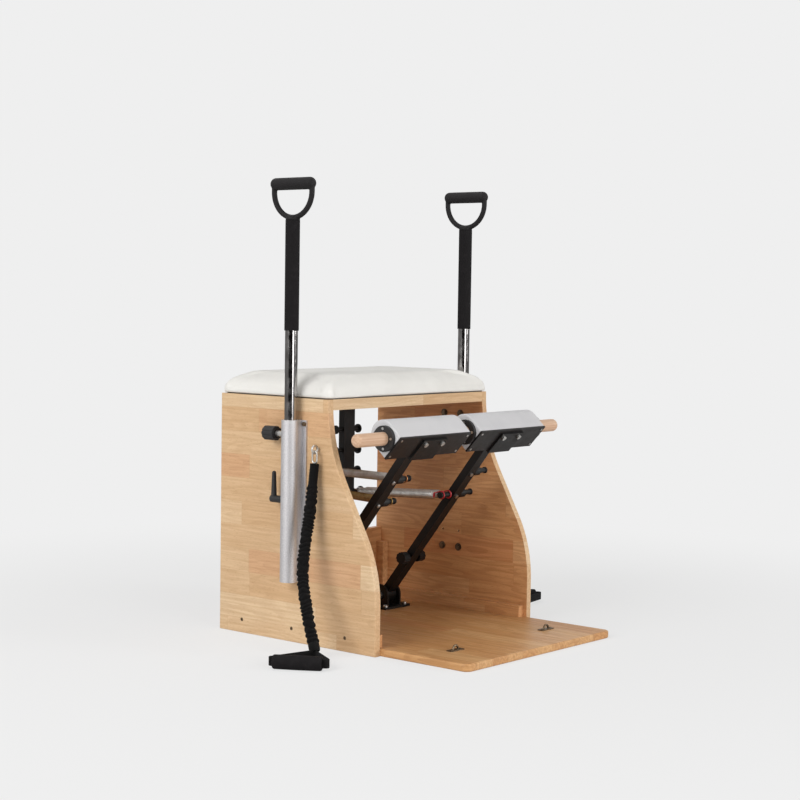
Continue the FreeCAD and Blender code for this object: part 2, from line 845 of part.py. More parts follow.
def pedal_holes(side):
    """Cutters for every pedal fastener's shank."""
    out = plate_normal()
    tools = []
    for across, up in plate_screw_places():
        top = in_pedal(side, across, up, pedal_front + plate_thickness)
        tools.append(rod(top - out * (small_screw_depth + plate_thickness), top,
                         small_screw_diameter / 2 + screw_gap))
    for across, up in arm_bolt_places():
        face = pedal_front + plate_thickness + arm_flange_thickness
        top = in_pedal(side, across, up, face)
        depth = arm_flange_thickness + plate_thickness + small_screw_depth
        tools.append(rod(top - out * depth, top, arm_bolt_diameter / 2 + screw_gap))
    for end in (-1, 1):
        for point in collar_screw_points(side, end):
            tools.append(rod(point - V(end, 0, 0) * (collar_thickness + small_screw_depth), point,
                             small_screw_diameter / 2 + screw_gap))
    return tools


def pedal_core(side):
    """Wooden core of a pedal."""
    core = pedal_form(side, pedal_length - 2 * pad_end_thickness, pad_thickness)
    return cut(core, [dowel_bore(side)] + pedal_holes(side))


def pedal_pad(side):
    """Padded cover round the core's sides, back and ends."""
    pad = pedal_form(side, pedal_length, 0)
    inside = pedal_form(side, pedal_length - 2 * pad_end_thickness, pad_thickness)
    return cut(pad, [inside, dowel_bore(side)] + pedal_holes(side))


def pedal_plate(side):
    """Flat black plate screwed over the core."""
    half = pedal_width / 2
    plate = pedal_block(side, pedal_length, -half, half, pedal_front, pedal_front + plate_thickness)
    return cut(plate, pedal_holes(side))


def pedal_collars(side):
    """Round end collars that guide the dowel."""
    rings = []
    for end in (-1, 1):
        start = pedal_centre(side) + V(end * pedal_length / 2, 0, 0)
        ring = rod(start, start + V(end * collar_thickness, 0, 0), collar_diameter / 2)
        rings.append(cut(ring, [dowel_bore(side)] + pedal_holes(side)))
    return group(rings)


def pedal_dowel():
    """Round-ended dowel through both pedals."""
    y = y_of(pedal_reach)
    bar = rod(V(-dowel_length / 2, y, pedal_height), V(dowel_length / 2, y, pedal_height), dowel_diameter / 2)

    def round_end(edge):
        return abs(abs(edge.CenterOfMass.x) - dowel_length / 2) < 1e-6

    return round_edges(bar, dowel_end_round, round_end)


def arm_line(side):
    """Pivot point, unit direction up the arm, and unit direction out of its front."""
    pivot = V(side * arm_offset, y_of(pivot_reach), pivot_height)
    along = in_pedal(side, 0, -pedal_width / 2 - arm_shelf_thickness, 0) - pivot
    along = along / along.Length
    return pivot, along, V(1, 0, 0).cross(along)


def arm_block(side, width, depth, start, end):
    """Box along an arm, between two distances from the pivot."""
    pivot, along, front = arm_line(side)
    corner = pivot + along * start - front * (depth / 2) - V(width / 2, 0, 0)
    ring = [corner, corner + V(width, 0, 0), corner + V(width, 0, 0) + front * depth,
            corner + front * depth, corner]
    return Part.Face(Part.makePolygon(ring)).extrude(along * (end - start))


def pedal_arm(side):
    """Box tube from the pivot hub to the shelf and flange that hold a pedal."""
    pivot, along, front = arm_line(side)
    shelf_low = -pedal_width / 2 - arm_shelf_thickness
    length = (in_pedal(side, 0, shelf_low, 0) - pivot).Length
    plate_face = pedal_front + plate_thickness
    outer_face = plate_face + arm_flange_thickness
    hub_half = V(hub_length / 2, 0, 0)
    past = arm_depth * 0.6
    bar = arm_block(side, arm_width, arm_depth, 0, length + past)
    bar = bar.cut(pedal_block(side, 4 * arm_width, shelf_low, pedal_width, -pedal_width, pedal_width))
    hollow = arm_block(side, arm_width - 2 * arm_wall, arm_depth - 2 * arm_wall, hub_diameter / 2,
                       length - past)
    solid = fuse([
        bar,
        rod(pivot - hub_half, pivot + hub_half, hub_diameter / 2),
        pedal_block(side, arm_flange_width, shelf_low, -pedal_width / 2, -arm_depth, outer_face),
        pedal_block(side, arm_flange_width, shelf_low, arm_flange_top, plate_face, outer_face),
    ])
    bore = pivot_pin_diameter / 2 + pivot_running_gap + bush_wall
    tools = [hollow, rod(pivot - hub_half, pivot + hub_half, bore)] + pedal_holes(side)
    for place, diameter in arm_peg_sizes():
        middle = pivot + along * place
        tools.append(rod(middle - V(arm_width, 0, 0), middle + V(arm_width, 0, 0),
                         diameter / 2 + peg_clearance))
    for point in peg_screw_points(side):
        tools.append(rod(point, point - front * (arm_depth / 2), peg_screw_diameter / 2 + screw_gap))
    return cut(solid, tools)


def arm_peg_sizes():
    """Distance from the pivot and diameter of each cross peg of an arm."""
    return [(place, arm_peg_diameter) for place in arm_peg_places] + [(knob_peg_place, knob_peg_diameter)]


def fluted_knob(start, axis, diameter, length):
    """Grip knob with rounded flutes round its rim."""
    knob = rod(start, start + axis * length, diameter / 2)
    side = V(0, 0, 1) if abs(axis.z) < 0.5 else V(1, 0, 0)
    other = axis.cross(side)
    flutes = []
    for index in range(knob_flutes):
        angle = 2 * math.pi * index / knob_flutes
        away = (side * math.cos(angle) + other * math.sin(angle)) * (diameter / 2 + knob_flute_radius / 2)
        flutes.append(rod(start + away - axis, start + away + axis * (length + 1), knob_flute_radius))
    return knob.cut(flutes)


def hooks_on_left(side, place):
    """Whether a spring peg stands out on its arm's left side too."""
    return side > 0 and place == arm_peg_low_place


def arm_peg_ends(side, place):
    """Left and right end of a spring peg, which may stop at its arm's left face."""
    pivot, along, _ = arm_line(side)
    middle = pivot + along * place
    left = arm_width / 2 + (arm_peg_hook_overhang if hooks_on_left(side, place) else 0)
    return middle - V(left, 0, 0), middle + V(arm_width / 2 + arm_peg_overhang, 0, 0)


def peg_screw_points(side):
    """Heads of the set screws in an arm's front that hold its spring pegs."""
    pivot, along, front = arm_line(side)
    return [pivot + along * place + front * (arm_depth / 2) for place in arm_peg_places]


def arm_pegs(side):
    """Spring pegs and the knobbed peg of one arm."""
    pivot, along, _ = arm_line(side)
    inward = V(-side, 0, 0)
    right = V(1, 0, 0)
    half = arm_width / 2
    shapes = []
    for place in arm_peg_places:
        left_end, right_end = arm_peg_ends(side, place)
        face = pivot + along * place + right * half
        parts = [rod(left_end, right_end, arm_peg_diameter / 2),
                 rod(right_end - right * peg_head_thickness, right_end, arm_peg_head_diameter / 2),
                 rod(face, face + right * arm_peg_collar_length, arm_peg_collar_diameter / 2)]
        if hooks_on_left(side, place):
            parts.append(rod(left_end, left_end + right * peg_head_thickness, arm_peg_head_diameter / 2))
        hole = rod(right_end - right * peg_screw_depth, right_end, peg_screw_diameter / 2 + screw_gap)
        shapes.append(fuse(parts).cut(hole))
    middle = pivot + along * knob_peg_place
    start = half + knob_standoff
    reach = inward * (start + knob_peg_seat)
    parts = [rod(middle + reach, middle - reach, knob_peg_diameter / 2)]
    for way in (-1, 1):
        parts.append(fluted_knob(middle + inward * (way * start), inward * way, knob_diameter, knob_length))
    shapes.append(fuse(parts))
    return group(shapes)


def spring_path(first, second, first_radius, second_radius):
    """Points and directions of one spring's wire, hook to hook, both hooks round pegs along X."""
    axis = second - first
    span = axis.Length
    axis = axis / span
    across = V(1, 0, 0) - axis * axis.x
    across = across / across.Length
    low = axis.cross(across)
    coil = (spring_diameter - spring_wire) / 2

    flat = V(0, axis.y, axis.z) / math.hypot(axis.y, axis.z)
    flat_low = flat.cross(V(1, 0, 0))

    def hook(peg, peg_radius, toward):
        ring = peg_radius + spring_hook_play + spring_wire / 2
        centre = peg + toward * (spring_hook_play - spring_hook_gap)
        spots = []
        for degrees in (50, 115, 180, 225, 270):
            angle = math.radians(degrees)
            spots.append((centre + toward * (ring * math.cos(angle)) - flat_low * (ring * math.sin(angle)),
                          toward * -math.sin(angle) - flat_low * math.cos(angle)))
        return spots, ring + spring_hook_play

    opening, opening_size = hook(first, first_radius, flat)
    closing, closing_size = hook(second, second_radius, flat * -1)
    start = opening_size + spring_lead
    end = span - closing_size - spring_lead
    path = opening + [(first + axis * start + low * spring_end_radius, axis)]
    steps = 2 * spring_curls
    rise = (end - start - 2 * spring_lead) / (spring_curls * 2 * math.pi)

    def helix(step):
        angle = math.pi * step + math.pi / 2
        grow = math.pi * 3
        from_end = min(angle, 2 * math.pi * spring_curls - angle + math.pi)
        share = min(1.0, max(0.0, from_end / grow))
        radius = spring_end_radius + (coil - spring_end_radius) * share
        place = start + spring_lead + rise * angle
        spot = low * math.cos(angle) + across * math.sin(angle)
        round_way = across * math.cos(angle) - low * math.sin(angle)
        direction = round_way * radius + axis * rise
        return first + axis * place + spot * radius, direction / direction.Length

    path += [helix(step) for step in range(steps)]
    path.append((first + axis * end + low * spring_end_radius, axis))
    path += [(spot, way * -1) for spot, way in reversed(closing)]
    return path


def self_gap(wire, thickness):
    """Least distance between two stretches of a tube that are not neighbours along it."""
    points = []
    for edge in wire.OrderedEdges:
        points += edge.discretize(5)[:-1]
    away = int(2.2 * math.pi * spring_end_radius / (wire.Length / len(points)))
    least = float("inf")
    for i, one in enumerate(points):
        for other in points[i + away:i + 12 * away]:
            least = min(least, one.distanceToPoint(other))
    return least - thickness


def spring(name, first, second, first_radius, second_radius):
    """Extension spring as one unbroken tube with tapered ends and two hooks."""
    path = spring_path(first, second, first_radius, second_radius)
    edges = []
    for (spot, way), (next_spot, next_way) in zip(path, path[1:]):
        edges += biarc(spot, way, next_spot, next_way)
    wire = Part.Wire(edges)
    start, way = path[0]
    ring = Part.Wire([Part.Circle(start, way, spring_wire / 2).toShape()])
    body = wire.makePipeShell([ring], True, False)
    print("%s: self gap %.2f mm, volume over section times length %.4f" % (
        name, self_gap(wire, spring_wire), body.Volume / (math.pi * spring_wire ** 2 / 4 * wire.Length)))
    return body


def post_peg_point(side, level, along):
    """Point on a post peg's axis, a distance out from the post's side."""
    return V(side * (post_width / 2 + along), y_of(post_reach), post_peg_levels()[level])


def arm_peg_point(side, peg, inward):
    """Point on an arm peg's axis, a distance inward from the arm's middle."""
    pivot, along, _ = arm_line(side)
    return pivot + along * arm_peg_places[peg] - V(side * inward, 0, 0)


def springs():
    """The four pedal springs and the pegs that they hang between."""
    left_room = post_peg_overhang - peg_head_thickness
    right_room = post_double_overhang - peg_head_thickness
    post_outer, post_inner = (right_room * share for share in right_post_shares)
    left_side = arm_width / 2 + arm_peg_overhang * left_spring_share
    outer, inner = (arm_width / 2 + arm_peg_hook_overhang * share for share in right_spring_shares)
    ends = {
        "left_upper_spring": (post_peg_point(-1, 1, left_room / 2), arm_peg_point(-1, 1, left_side)),
        "left_lower_spring": (post_peg_point(-1, 0, left_room / 2), arm_peg_point(-1, 0, left_side)),
        "right_inner_spring": (post_peg_point(1, 0, post_inner), arm_peg_point(1, 0, inner)),
        "right_outer_spring": (post_peg_point(1, 0, post_outer), arm_peg_point(1, 0, outer)),
    }
    return {name: spring(name, first, second, post_peg_diameter / 2, arm_peg_diameter / 2)
            for name, (first, second) in ends.items()}


def pole_axis(side, height):
    """Point on a handle pole's axis."""
    return V(side * handle_offset, y_of(handle_reach), height)


def handle_sleeve(side):
    """Extruded guide: a tube with a flat bolted flange."""
    face = side * half_width
    flange = box(face, face + side * sleeve_flange_thickness, handle_reach - sleeve_flange_width / 2,
                 handle_reach + sleeve_flange_width / 2, sleeve_bottom, sleeve_top)
    web = box(face, side * handle_offset, handle_reach - sleeve_diameter / 2 + sleeve_web_inset,
              handle_reach + sleeve_diameter / 2 - sleeve_web_inset, sleeve_bottom, sleeve_top)
    barrel = rod(pole_axis(side, sleeve_bottom), pole_axis(side, sleeve_top), sleeve_diameter / 2)
    bore = rod(pole_axis(side, sleeve_bottom), pole_axis(side, sleeve_top), sleeve_bore / 2)
    back = V(0, 1, 0)
    out = V(side, 0, 0)
    tools = [bore]
    for height, radius in ((plunger_height, plunger_neck_diameter / 2 + screw_gap),
                           (lever_height, lever_stud_diameter / 2 + pivot_running_gap)):
        start = pole_axis(side, height)
        tools.append(rod(start, start + back * sleeve_diameter, radius))
    for point in sleeve_bolt_points(side):
        tools.append(rod(point - out * sleeve_flange_thickness, point, screw_diameter / 2 + screw_gap))
    return cut(fuse([flange, web, barrel]), tools)


def sleeve_liners():
    """Plastic liners at the top and bottom of each sleeve."""
    liners = []
    for _, side in SIDES:
        for low in (sleeve_bottom, sleeve_top - liner_length):
            liners.append(tube(pole_axis(side, low), pole_axis(side, low + liner_length), sleeve_bore / 2,
                               pole_diameter / 2 + pole_gap))
    return group(liners)


def handle_pole(side):
    """Chromed tube with a row of setting holes in its back."""
    pole = tube(pole_axis(side, pole_bottom), pole_axis(side, loop_bottom), pole_diameter / 2,
                pole_diameter / 2 - pole_wall)
    back = V(0, 1, 0)
    holes = []
    for index in range(pole_hole_count):
        start = pole_axis(side, pole_hole_first + index * pole_hole_pitch)
        holes.append(rod(start, start + back * pole_diameter, pole_hole_diameter / 2))
    return cut(pole, holes)


def foam_grip(side):
    """Foam sleeve on a pole."""
    return tube(pole_axis(side, foam_bottom), pole_axis(side, loop_bottom), foam_diameter / 2,
                pole_diameter / 2)


def d_handle(side):
    """Moulded loop on the pole's end: a thick round bar over a rod bent into a half circle."""
    bar_radius = loop_bar_diameter / 2
    rod_radius = loop_rod_diameter / 2
    bend = loop_width / 2 - loop_rod_inset
    bar_height = loop_top - bar_radius
    centre = pole_axis(side, loop_bottom + rod_radius + bend)
    across = V(0, 1, 0)
    ends = [pole_axis(side, bar_height) + across * (way * (loop_width / 2 - bar_radius)) for way in (-1, 1)]
    parts = [rod(ends[0], ends[1], bar_radius)]
    parts += [Part.makeSphere(bar_radius, end) for end in ends]
    section = Part.Face(Part.Wire([Part.Circle(centre - across * bend, V(0, 0, 1), rod_radius).toShape()]))
    parts.append(section.revolve(centre, V(1, 0, 0), 180))
    for way in (-1, 1):
        foot = centre + across * (way * bend)
        parts.append(rod(foot, V(foot.x, foot.y, bar_height), rod_radius))
    neck_top = loop_bottom + loop_neck_height
    neck = rod(pole_axis(side, loop_bottom), pole_axis(side, neck_top), foam_diameter / 2)

    def top_rim(edge):
        return edge.BoundBox.ZMin > neck_top - loop_neck_round / 2

    parts.append(round_edges(neck, loop_neck_round, top_rim))
    return fuse(parts)


def plunger_bodies():
    """Threaded necks that guide the plungers."""
    necks = []
    back = V(0, 1, 0)
    for _, side in SIDES:
        start = pole_axis(side, plunger_height) + back * (sleeve_bore / 2)
        end = pole_axis(side, plunger_height) + back * (sleeve_diameter / 2 + plunger_neck_length)
        necks.append(tube(start, end, plunger_neck_diameter / 2,
                          plunger_pin_diameter / 2 + pivot_running_gap))
    return group(necks)


def plunger(side):
    """Pull knob on its pin, the pin's tip just clear of the pole."""
    back = V(0, 1, 0)
    axis = pole_axis(side, plunger_height)
    tip = axis + back * (pole_diameter / 2 + pole_gap)
    seat = axis + back * (sleeve_diameter / 2 + plunger_neck_length + plunger_travel_gap)
    return fuse([rod(tip, seat + back, plunger_pin_diameter / 2),
                 fluted_knob(seat, back, plunger_knob_diameter, plunger_knob_length)])


def clamp_lever(side):
    """Clamping lever: stud, round hub and an upright arm at the hub's outer end."""
    back = V(0, 1, 0)
    axis = pole_axis(side, lever_height)
    tip = axis + back * (pole_diameter / 2 + pole_gap)
    seat = axis + back * (sleeve_diameter / 2 + lever_hub_gap)
    end = seat + back * lever_hub_length
    hub = rod(seat, end, lever_hub_diameter / 2)
    stud = rod(tip, seat + back, lever_stud_diameter / 2)
    foot = end - back * (lever_arm_foot_diameter / 2)
    tip = lever_arm_tip_diameter / 2
    up = V(0, 0, 1)
    arm = Part.makeCone(lever_arm_foot_diameter / 2, tip, lever_arm_length - tip, foot, up)
    return fuse([hub, stud, arm, Part.makeSphere(tip, foot + up * (lever_arm_length - tip))])


def band_eye_centre(side):
    """Middle of the ring of a screw eye."""
    aside = band_eye_neck + band_eye_radius
    return V(side * (half_width + aside), y_of(band_eye_reach), band_eye_height)


def band_eyes():
    """Screw eyes in the side panels that the bands clip to."""
    eyes = []
    for _, side in SIDES:
        out = V(side, 0, 0)
        start = V(side * half_width, y_of(band_eye_reach), band_eye_height)
        ring = Part.makeTorus(band_eye_radius, band_eye_wire / 2, band_eye_centre(side), V(0, 1, 0))
        shank = rod(start - out * band_eye_shank, start + out * band_eye_neck, band_eye_wire / 2)
        eyes.append(fuse([ring, shank]))
    return group(eyes)


def hook_top(side):
    """Middle of the upper bend of a snap hook that hangs on its eye's lower wire."""
    wire = band_eye_wire / 2 + hook_wire / 2 + hook_gap
    return band_eye_centre(side) + V(0, 0, wire - band_eye_radius - hook_radius)


def hook_low(side):
    """Middle of the lower bend of a snap hook."""
    return hook_top(side) - V(0, 0, hook_length - 2 * hook_radius)


def snap_hook(side):
    """Oblong snap hook hanging in its screw eye."""
    top = hook_top(side)
    low = hook_low(side)
    ahead = V(0, -1, 0)
    edges = [
        line(top + ahead * hook_radius, low + ahead * hook_radius),
        arc3(low + ahead * hook_radius, low - V(0, 0, hook_radius), low - ahead * hook_radius),
        line(low - ahead * hook_radius, top - ahead * hook_radius),
        arc3(top - ahead * hook_radius, top + V(0, 0, hook_radius), top + ahead * hook_radius),
    ]
    ring = Part.Wire([Part.Circle(top + ahead * hook_radius, V(0, 0, 1), hook_wire / 2).toShape()])
    return Part.Wire(edges).makePipeShell([ring], True, False)


def route_points(side, route):
    """Band route as points, from just under its snap hook."""
    top = hook_low(side) - V(0, 0, hook_radius + hook_wire / 2 + hook_gap)
    return [top] + [V(side * (half_width + aside), y_of(reach), height) for aside, reach, height in route]


def cord_tube(name, points, diameter):
    """Tube along straight runs and tangent arcs as large as the runs allow."""
    edges = []
    radii = []
    last = points[0]
    for before, corner, after in zip(points, points[1:], points[2:]):
        into = (corner - before) / (corner - before).Length
        away = (after - corner) / (after - corner).Length
        setback = 0.45 * min((corner - before).Length, (after - corner).Length)
        radii.append(setback / math.tan(into.getAngle(away) / 2))
        first = corner - into * setback
        second = corner + away * setback
        bend = arc_from(first, into, second)
        edges += [line(last, first), bend]
        last = second
    edges.append(line(last, points[-1]))
    wire = Part.Wire(edges)
    start = points[1] - points[0]
    ring = Part.Wire([Part.Circle(points[0], start, diameter / 2).toShape()])
    body = wire.makePipeShell([ring], True, False)
    print("%s: length %.0f mm, radii %s, volume over section times length %.4f" % (
        name, wire.Length, " ".join("%.0f" % radius for radius in radii),
        body.Volume / (math.pi * diameter ** 2 / 4 * wire.Length)))
    return body


def grip_frame(side, centre, turn):
    """Middle of a floor grip and the direction of its axis."""
    aside, reach = centre
    middle = V(side * (half_width + aside), y_of(reach), grip_diameter / 2)
    angle = math.radians(turn)
    axis = V(-side * math.cos(angle), -math.sin(angle), 0)
    return middle, axis


def band_grip(side, centre, turn):
    """Foam tube of a band's hand grip, lying on the floor."""
    middle, axis = grip_frame(side, centre, turn)
    half = axis * (grip_length / 2)
    return tube(middle - half, middle + half, grip_diameter / 2, grip_bore / 2)


def band_strap(side, centre, turn, points):
    """Webbing loop through the grip, sewn to a ferrule on the band's end."""
    middle, axis = grip_frame(side, centre, turn)
    end = points[-1]
    way = (points[-1] - points[-2]) / (points[-1] - points[-2]).Length
    low = V(0, 0, (grip_diameter - strap_height) / 2)
    flat_end = V(end.x, end.y, 0) + V(way.x, way.y, 0) * ferrule_length
    flat_middle = V(middle.x, middle.y, 0)
    run = axis * (grip_length / 2 + strap_overrun)
    corners = [flat_middle - run + low, flat_middle + run + low, flat_end + low]
    loop = Part.Wire(Part.makePolygon(corners + corners[:1]))
    outer = Part.Face(loop.makeOffset2D(strap_thickness / 2))
    inner = Part.Face(loop.makeOffset2D(-strap_thickness / 2))
    strap = outer.cut(inner).extrude(V(0, 0, strap_height))
    ferrule = rod(end, end + way * ferrule_length, ferrule_diameter / 2)
    return fuse([strap, ferrule])


def pad_eyes():
    """Two floor eyes screwed near the front of the base board."""
    eyes = []
    for _, side in SIDES:
        middle = V(side * pad_eye_offset, y_of(pad_eye_reach), base_thickness)
        plate = box(middle.x - pad_eye_plate_length / 2, middle.x + pad_eye_plate_length / 2,
                    pad_eye_reach - pad_eye_plate_width / 2, pad_eye_reach + pad_eye_plate_width / 2,
                    base_thickness, base_thickness + pad_eye_plate_thickness)
        loop = Part.makeTorus(pad_eye_radius, pad_eye_wire / 2, middle + V(0, 0, pad_eye_plate_thickness),
                              V(0, 1, 0))
        loop = loop.cut(box(middle.x - half_width, middle.x + half_width, 0, base_depth, -half_width,
                            base_thickness))
        shape = fuse([plate, loop])
        holes = [rod(point - V(0, 0, pad_eye_plate_thickness), point, small_screw_diameter / 2 + screw_gap)
                 for point in pad_eye_screw_points(side)]
        eyes.append(cut(shape, holes))
    return group(eyes)


def frame_screws():
    """Every screw and bolt of the carcass, the post, the brackets and the floor eyes."""
    up = V(0, 0, 1)
    shapes = []
    for point in post_screw_points():
        shapes.append(threaded(point, up * -1, screw_diameter / 2, post_screw_length(),
                               screw_head_diameter / 2, screw_head_height))
    for _, side in SIDES:
        shapes += cleat_screws(side)
        shapes += sleeve_bolts(side)
        shapes += [hexagon_bolt(point, up, V(1, 0, 0)) for point in bracket_bolt_points(side)]
        shapes += [threaded(point, up, small_screw_diameter / 2, small_screw_depth, small_screw_head / 2,
                            screw_head_height / 2) for point in pad_eye_screw_points(side)]
    return group(shapes)


def build():
    """Make and write every sub-part."""
    save("base_board", base_board())
    save("back_panel", box(-inner_half, inner_half, 0, panel_thickness, 0, back_panel_height))
    save("seat_board", seat_board())
    save("seat_dowels", group(seat_dowels()))
    save("cleats", cleats())
    save("cushion_board", cushion_board())
    save("seat_cushion", seat_cushion())
    save("spring_post", spring_post())
    save("post_pegs", post_pegs())
    save("pivot_pins", pivot_pins())
    save("pedal_dowel", pedal_dowel())
    save("sleeve_liners", sleeve_liners())
    save("plunger_bodies", plunger_bodies())
    save("band_eyes", band_eyes())
    save("pad_eyes", pad_eyes())
    save("frame_screws", frame_screws())
    for name, shape in springs().items():
        save(name, shape)
    for name, side in SIDES:
        save(name + "_side_panel", side_panel(side))
        save(name + "_pivot_bracket", pivot_bracket(side))
        save(name + "_hub_bushes", hub_bushes(side))
        save(name + "_pedal_arm", pedal_arm(side))
        save(name + "_arm_pegs", arm_pegs(side))
        save(name + "_pedal_core", pedal_core(side))
        save(name + "_pedal_pad", pedal_pad(side))
        save(name + "_pedal_plate", pedal_plate(side))
        save(name + "_pedal_collars", pedal_collars(side))
        save(name + "_pedal_fasteners", pedal_fasteners(side))
        save(name + "_handle_sleeve", handle_sleeve(side))
        save(name + "_handle_pole", handle_pole(side))
        save(name + "_foam_grip", foam_grip(side))
        save(name + "_d_handle", d_handle(side))
        save(name + "_plunger", plunger(side))
        save(name + "_clamp_lever", clamp_lever(side))
        save(name + "_snap_hook", snap_hook(side))
    bands = (("left", -1, left_band_route, left_grip_centre, left_grip_turn),
             ("right", 1, right_band_route, right_grip_centre, right_grip_turn))
    for name, side, route, centre, turn in bands:
        points = route_points(side, route)
        save(name + "_band", cord_tube(name + "_band", points, band_diameter))
        save(name + "_band_grip", band_grip(side, centre, turn))
        save(name + "_band_strap", band_strap(side, centre, turn, points))


build()
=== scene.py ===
import math

import bmesh
import bpy
import numpy as np
from mathutils import Matrix, Vector


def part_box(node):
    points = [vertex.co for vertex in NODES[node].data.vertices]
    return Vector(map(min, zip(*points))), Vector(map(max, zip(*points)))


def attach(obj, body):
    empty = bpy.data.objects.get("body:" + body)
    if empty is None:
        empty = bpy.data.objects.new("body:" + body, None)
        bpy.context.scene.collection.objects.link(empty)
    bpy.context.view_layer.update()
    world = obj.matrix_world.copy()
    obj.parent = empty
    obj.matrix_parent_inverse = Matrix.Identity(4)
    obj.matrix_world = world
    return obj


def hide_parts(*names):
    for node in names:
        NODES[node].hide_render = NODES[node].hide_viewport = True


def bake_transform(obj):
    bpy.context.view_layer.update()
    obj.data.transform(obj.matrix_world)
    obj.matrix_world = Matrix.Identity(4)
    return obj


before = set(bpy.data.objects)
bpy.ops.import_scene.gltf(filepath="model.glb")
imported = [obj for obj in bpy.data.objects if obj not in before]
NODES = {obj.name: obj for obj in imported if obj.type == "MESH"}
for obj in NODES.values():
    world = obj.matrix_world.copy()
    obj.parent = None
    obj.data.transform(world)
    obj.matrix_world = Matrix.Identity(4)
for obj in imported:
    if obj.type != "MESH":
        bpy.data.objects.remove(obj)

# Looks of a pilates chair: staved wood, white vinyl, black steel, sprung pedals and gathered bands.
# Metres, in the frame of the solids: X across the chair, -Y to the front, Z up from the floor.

SCENE = bpy.context.scene
SIDES = (("left", -1), ("right", 1))
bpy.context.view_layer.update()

# Camera of the photograph
CAMERA_PLACE = Vector((-3.3396, -2.7518, 0.8303))
CAMERA_YAW = math.radians(40.14)
CAMERA_PITCH = math.radians(-3.45)
CAMERA_ROLL = 0.0149
CAMERA_LENS = 80.26
CAMERA_SENSOR = 36

# Bands: routes from the snap hook to the ferrule, each point as its distance from the panel's face,
# its reach from the chair's back edge and its height
HALF_WIDTH = 0.301
HALF_DEPTH = 0.380
LEFT_ROUTE = (
    (0.015, 0.326, 0.4308), (0.024, 0.328, 0.374), (0.038, 0.332, 0.303), (0.058, 0.338, 0.247),
    (0.080, 0.351, 0.181), (0.095, 0.376, 0.128), (0.108, 0.401, 0.076), (0.118, 0.424, 0.038),
)
RIGHT_ROUTE = (
    (0.015, 0.326, 0.4308), (0.024, 0.328, 0.374), (0.038, 0.331, 0.303), (0.060, 0.334, 0.247),
    (0.088, 0.337, 0.190), (0.112, 0.341, 0.135), (0.132, 0.348, 0.082), (0.146, 0.356, 0.042),
)
ROUTE_RESOLUTION = 52
BAND_SIDES = 40
BAND_NECK = 0.052            # smooth stretch below the hook
NECK_RADIUS = 0.0106
NECK_HEM = 0.0006
NECK_HEM_LENGTH = 0.004
NECK_RIPPLE = 0.0002
NECK_RIPPLE_RATE = 900

# Cloth gathered round a band; a wave is its size, turns round the band, rate along it and start
CLOTH_RADIUS = 0.0096
PUFF_PITCH = 0.0118
PUFF_HEIGHT = 0.0040
PUFF_POWER = 0.6             # below 1 for full puffs between narrow creases
PUFF_DRIFT = ((0.55, 0, 37, 0.6), (0.3, 0, 91, 0.0), (0.26, 1, 47, 0.0), (0.16, 2, -83, 0.0))
FOLD_HEIGHT = 0.0006
FOLDS = ((1.0, 3, 210, 0.0), (1.0, 5, -340, 1.3))
SWELL_HEIGHT = 0.0009
SWELL_MIDDLE = 0.5
SWELL = ((0.5, 0, 58, 0.8),)
TAPER_LENGTH = 0.006
TAPER_END = 0.55
TAPER_DEPTH = 0.14

# Hand grips on the floor: distance from the panel and reach of the middle, and the turn
LEFT_GRIP = ((0.218, 0.470), math.radians(59))
RIGHT_GRIP = ((0.235, 0.283), math.radians(133))
GRIP_RADIUS = 0.016
GRIP_HALF = 0.056
GRIP_EDGE = 0.005            # round of the foam's ends
GRIP_EDGE_STEPS = 7
GRIP_BULGE = 0.0004
GRIP_RINGS = (-0.6, -0.2, 0.2, 0.6)  # between the ends, as shares of half the length
GRIP_BORE_INSET = 0.001
GRIP_SIDES = 48
STRAP_PLAY = 0.0004          # between the webbing and the bore
STRAP_OVERRUN = 0.018
STRAP_HEIGHT = 0.020
STRAP_THICKNESS = 0.0028
STRAP_BEVEL = 0.3            # of the thickness
STRAP_CORNER = 0.007
STRAP_CORNER_STEPS = 8
FERRULE_LENGTH = 0.020
FERRULE_SHAPE = (            # distance along it, radius
    (0, 0.0095), (0, 0.0118), (0.002, 0.0128), (0.012, 0.0130), (0.019, 0.0118), (0.0205, 0.0095),
)
FERRULE_SIDES = 40
STITCH_COUNT = 5
STITCH_FIRST = 0.016         # from the ferrule's tip to the first stitch
STITCH_PITCH = 0.0052
STITCH_LENGTH = 0.0036
STITCH_ROWS = (0.22, 0.78)   # of the webbing's height
STITCH_RINGS = (0, 0.25, 0.5, 0.75, 1)
STITCH_ARCH = 0.0003
STITCH_RADIUS = 0.0005
STITCH_SIDES = 8

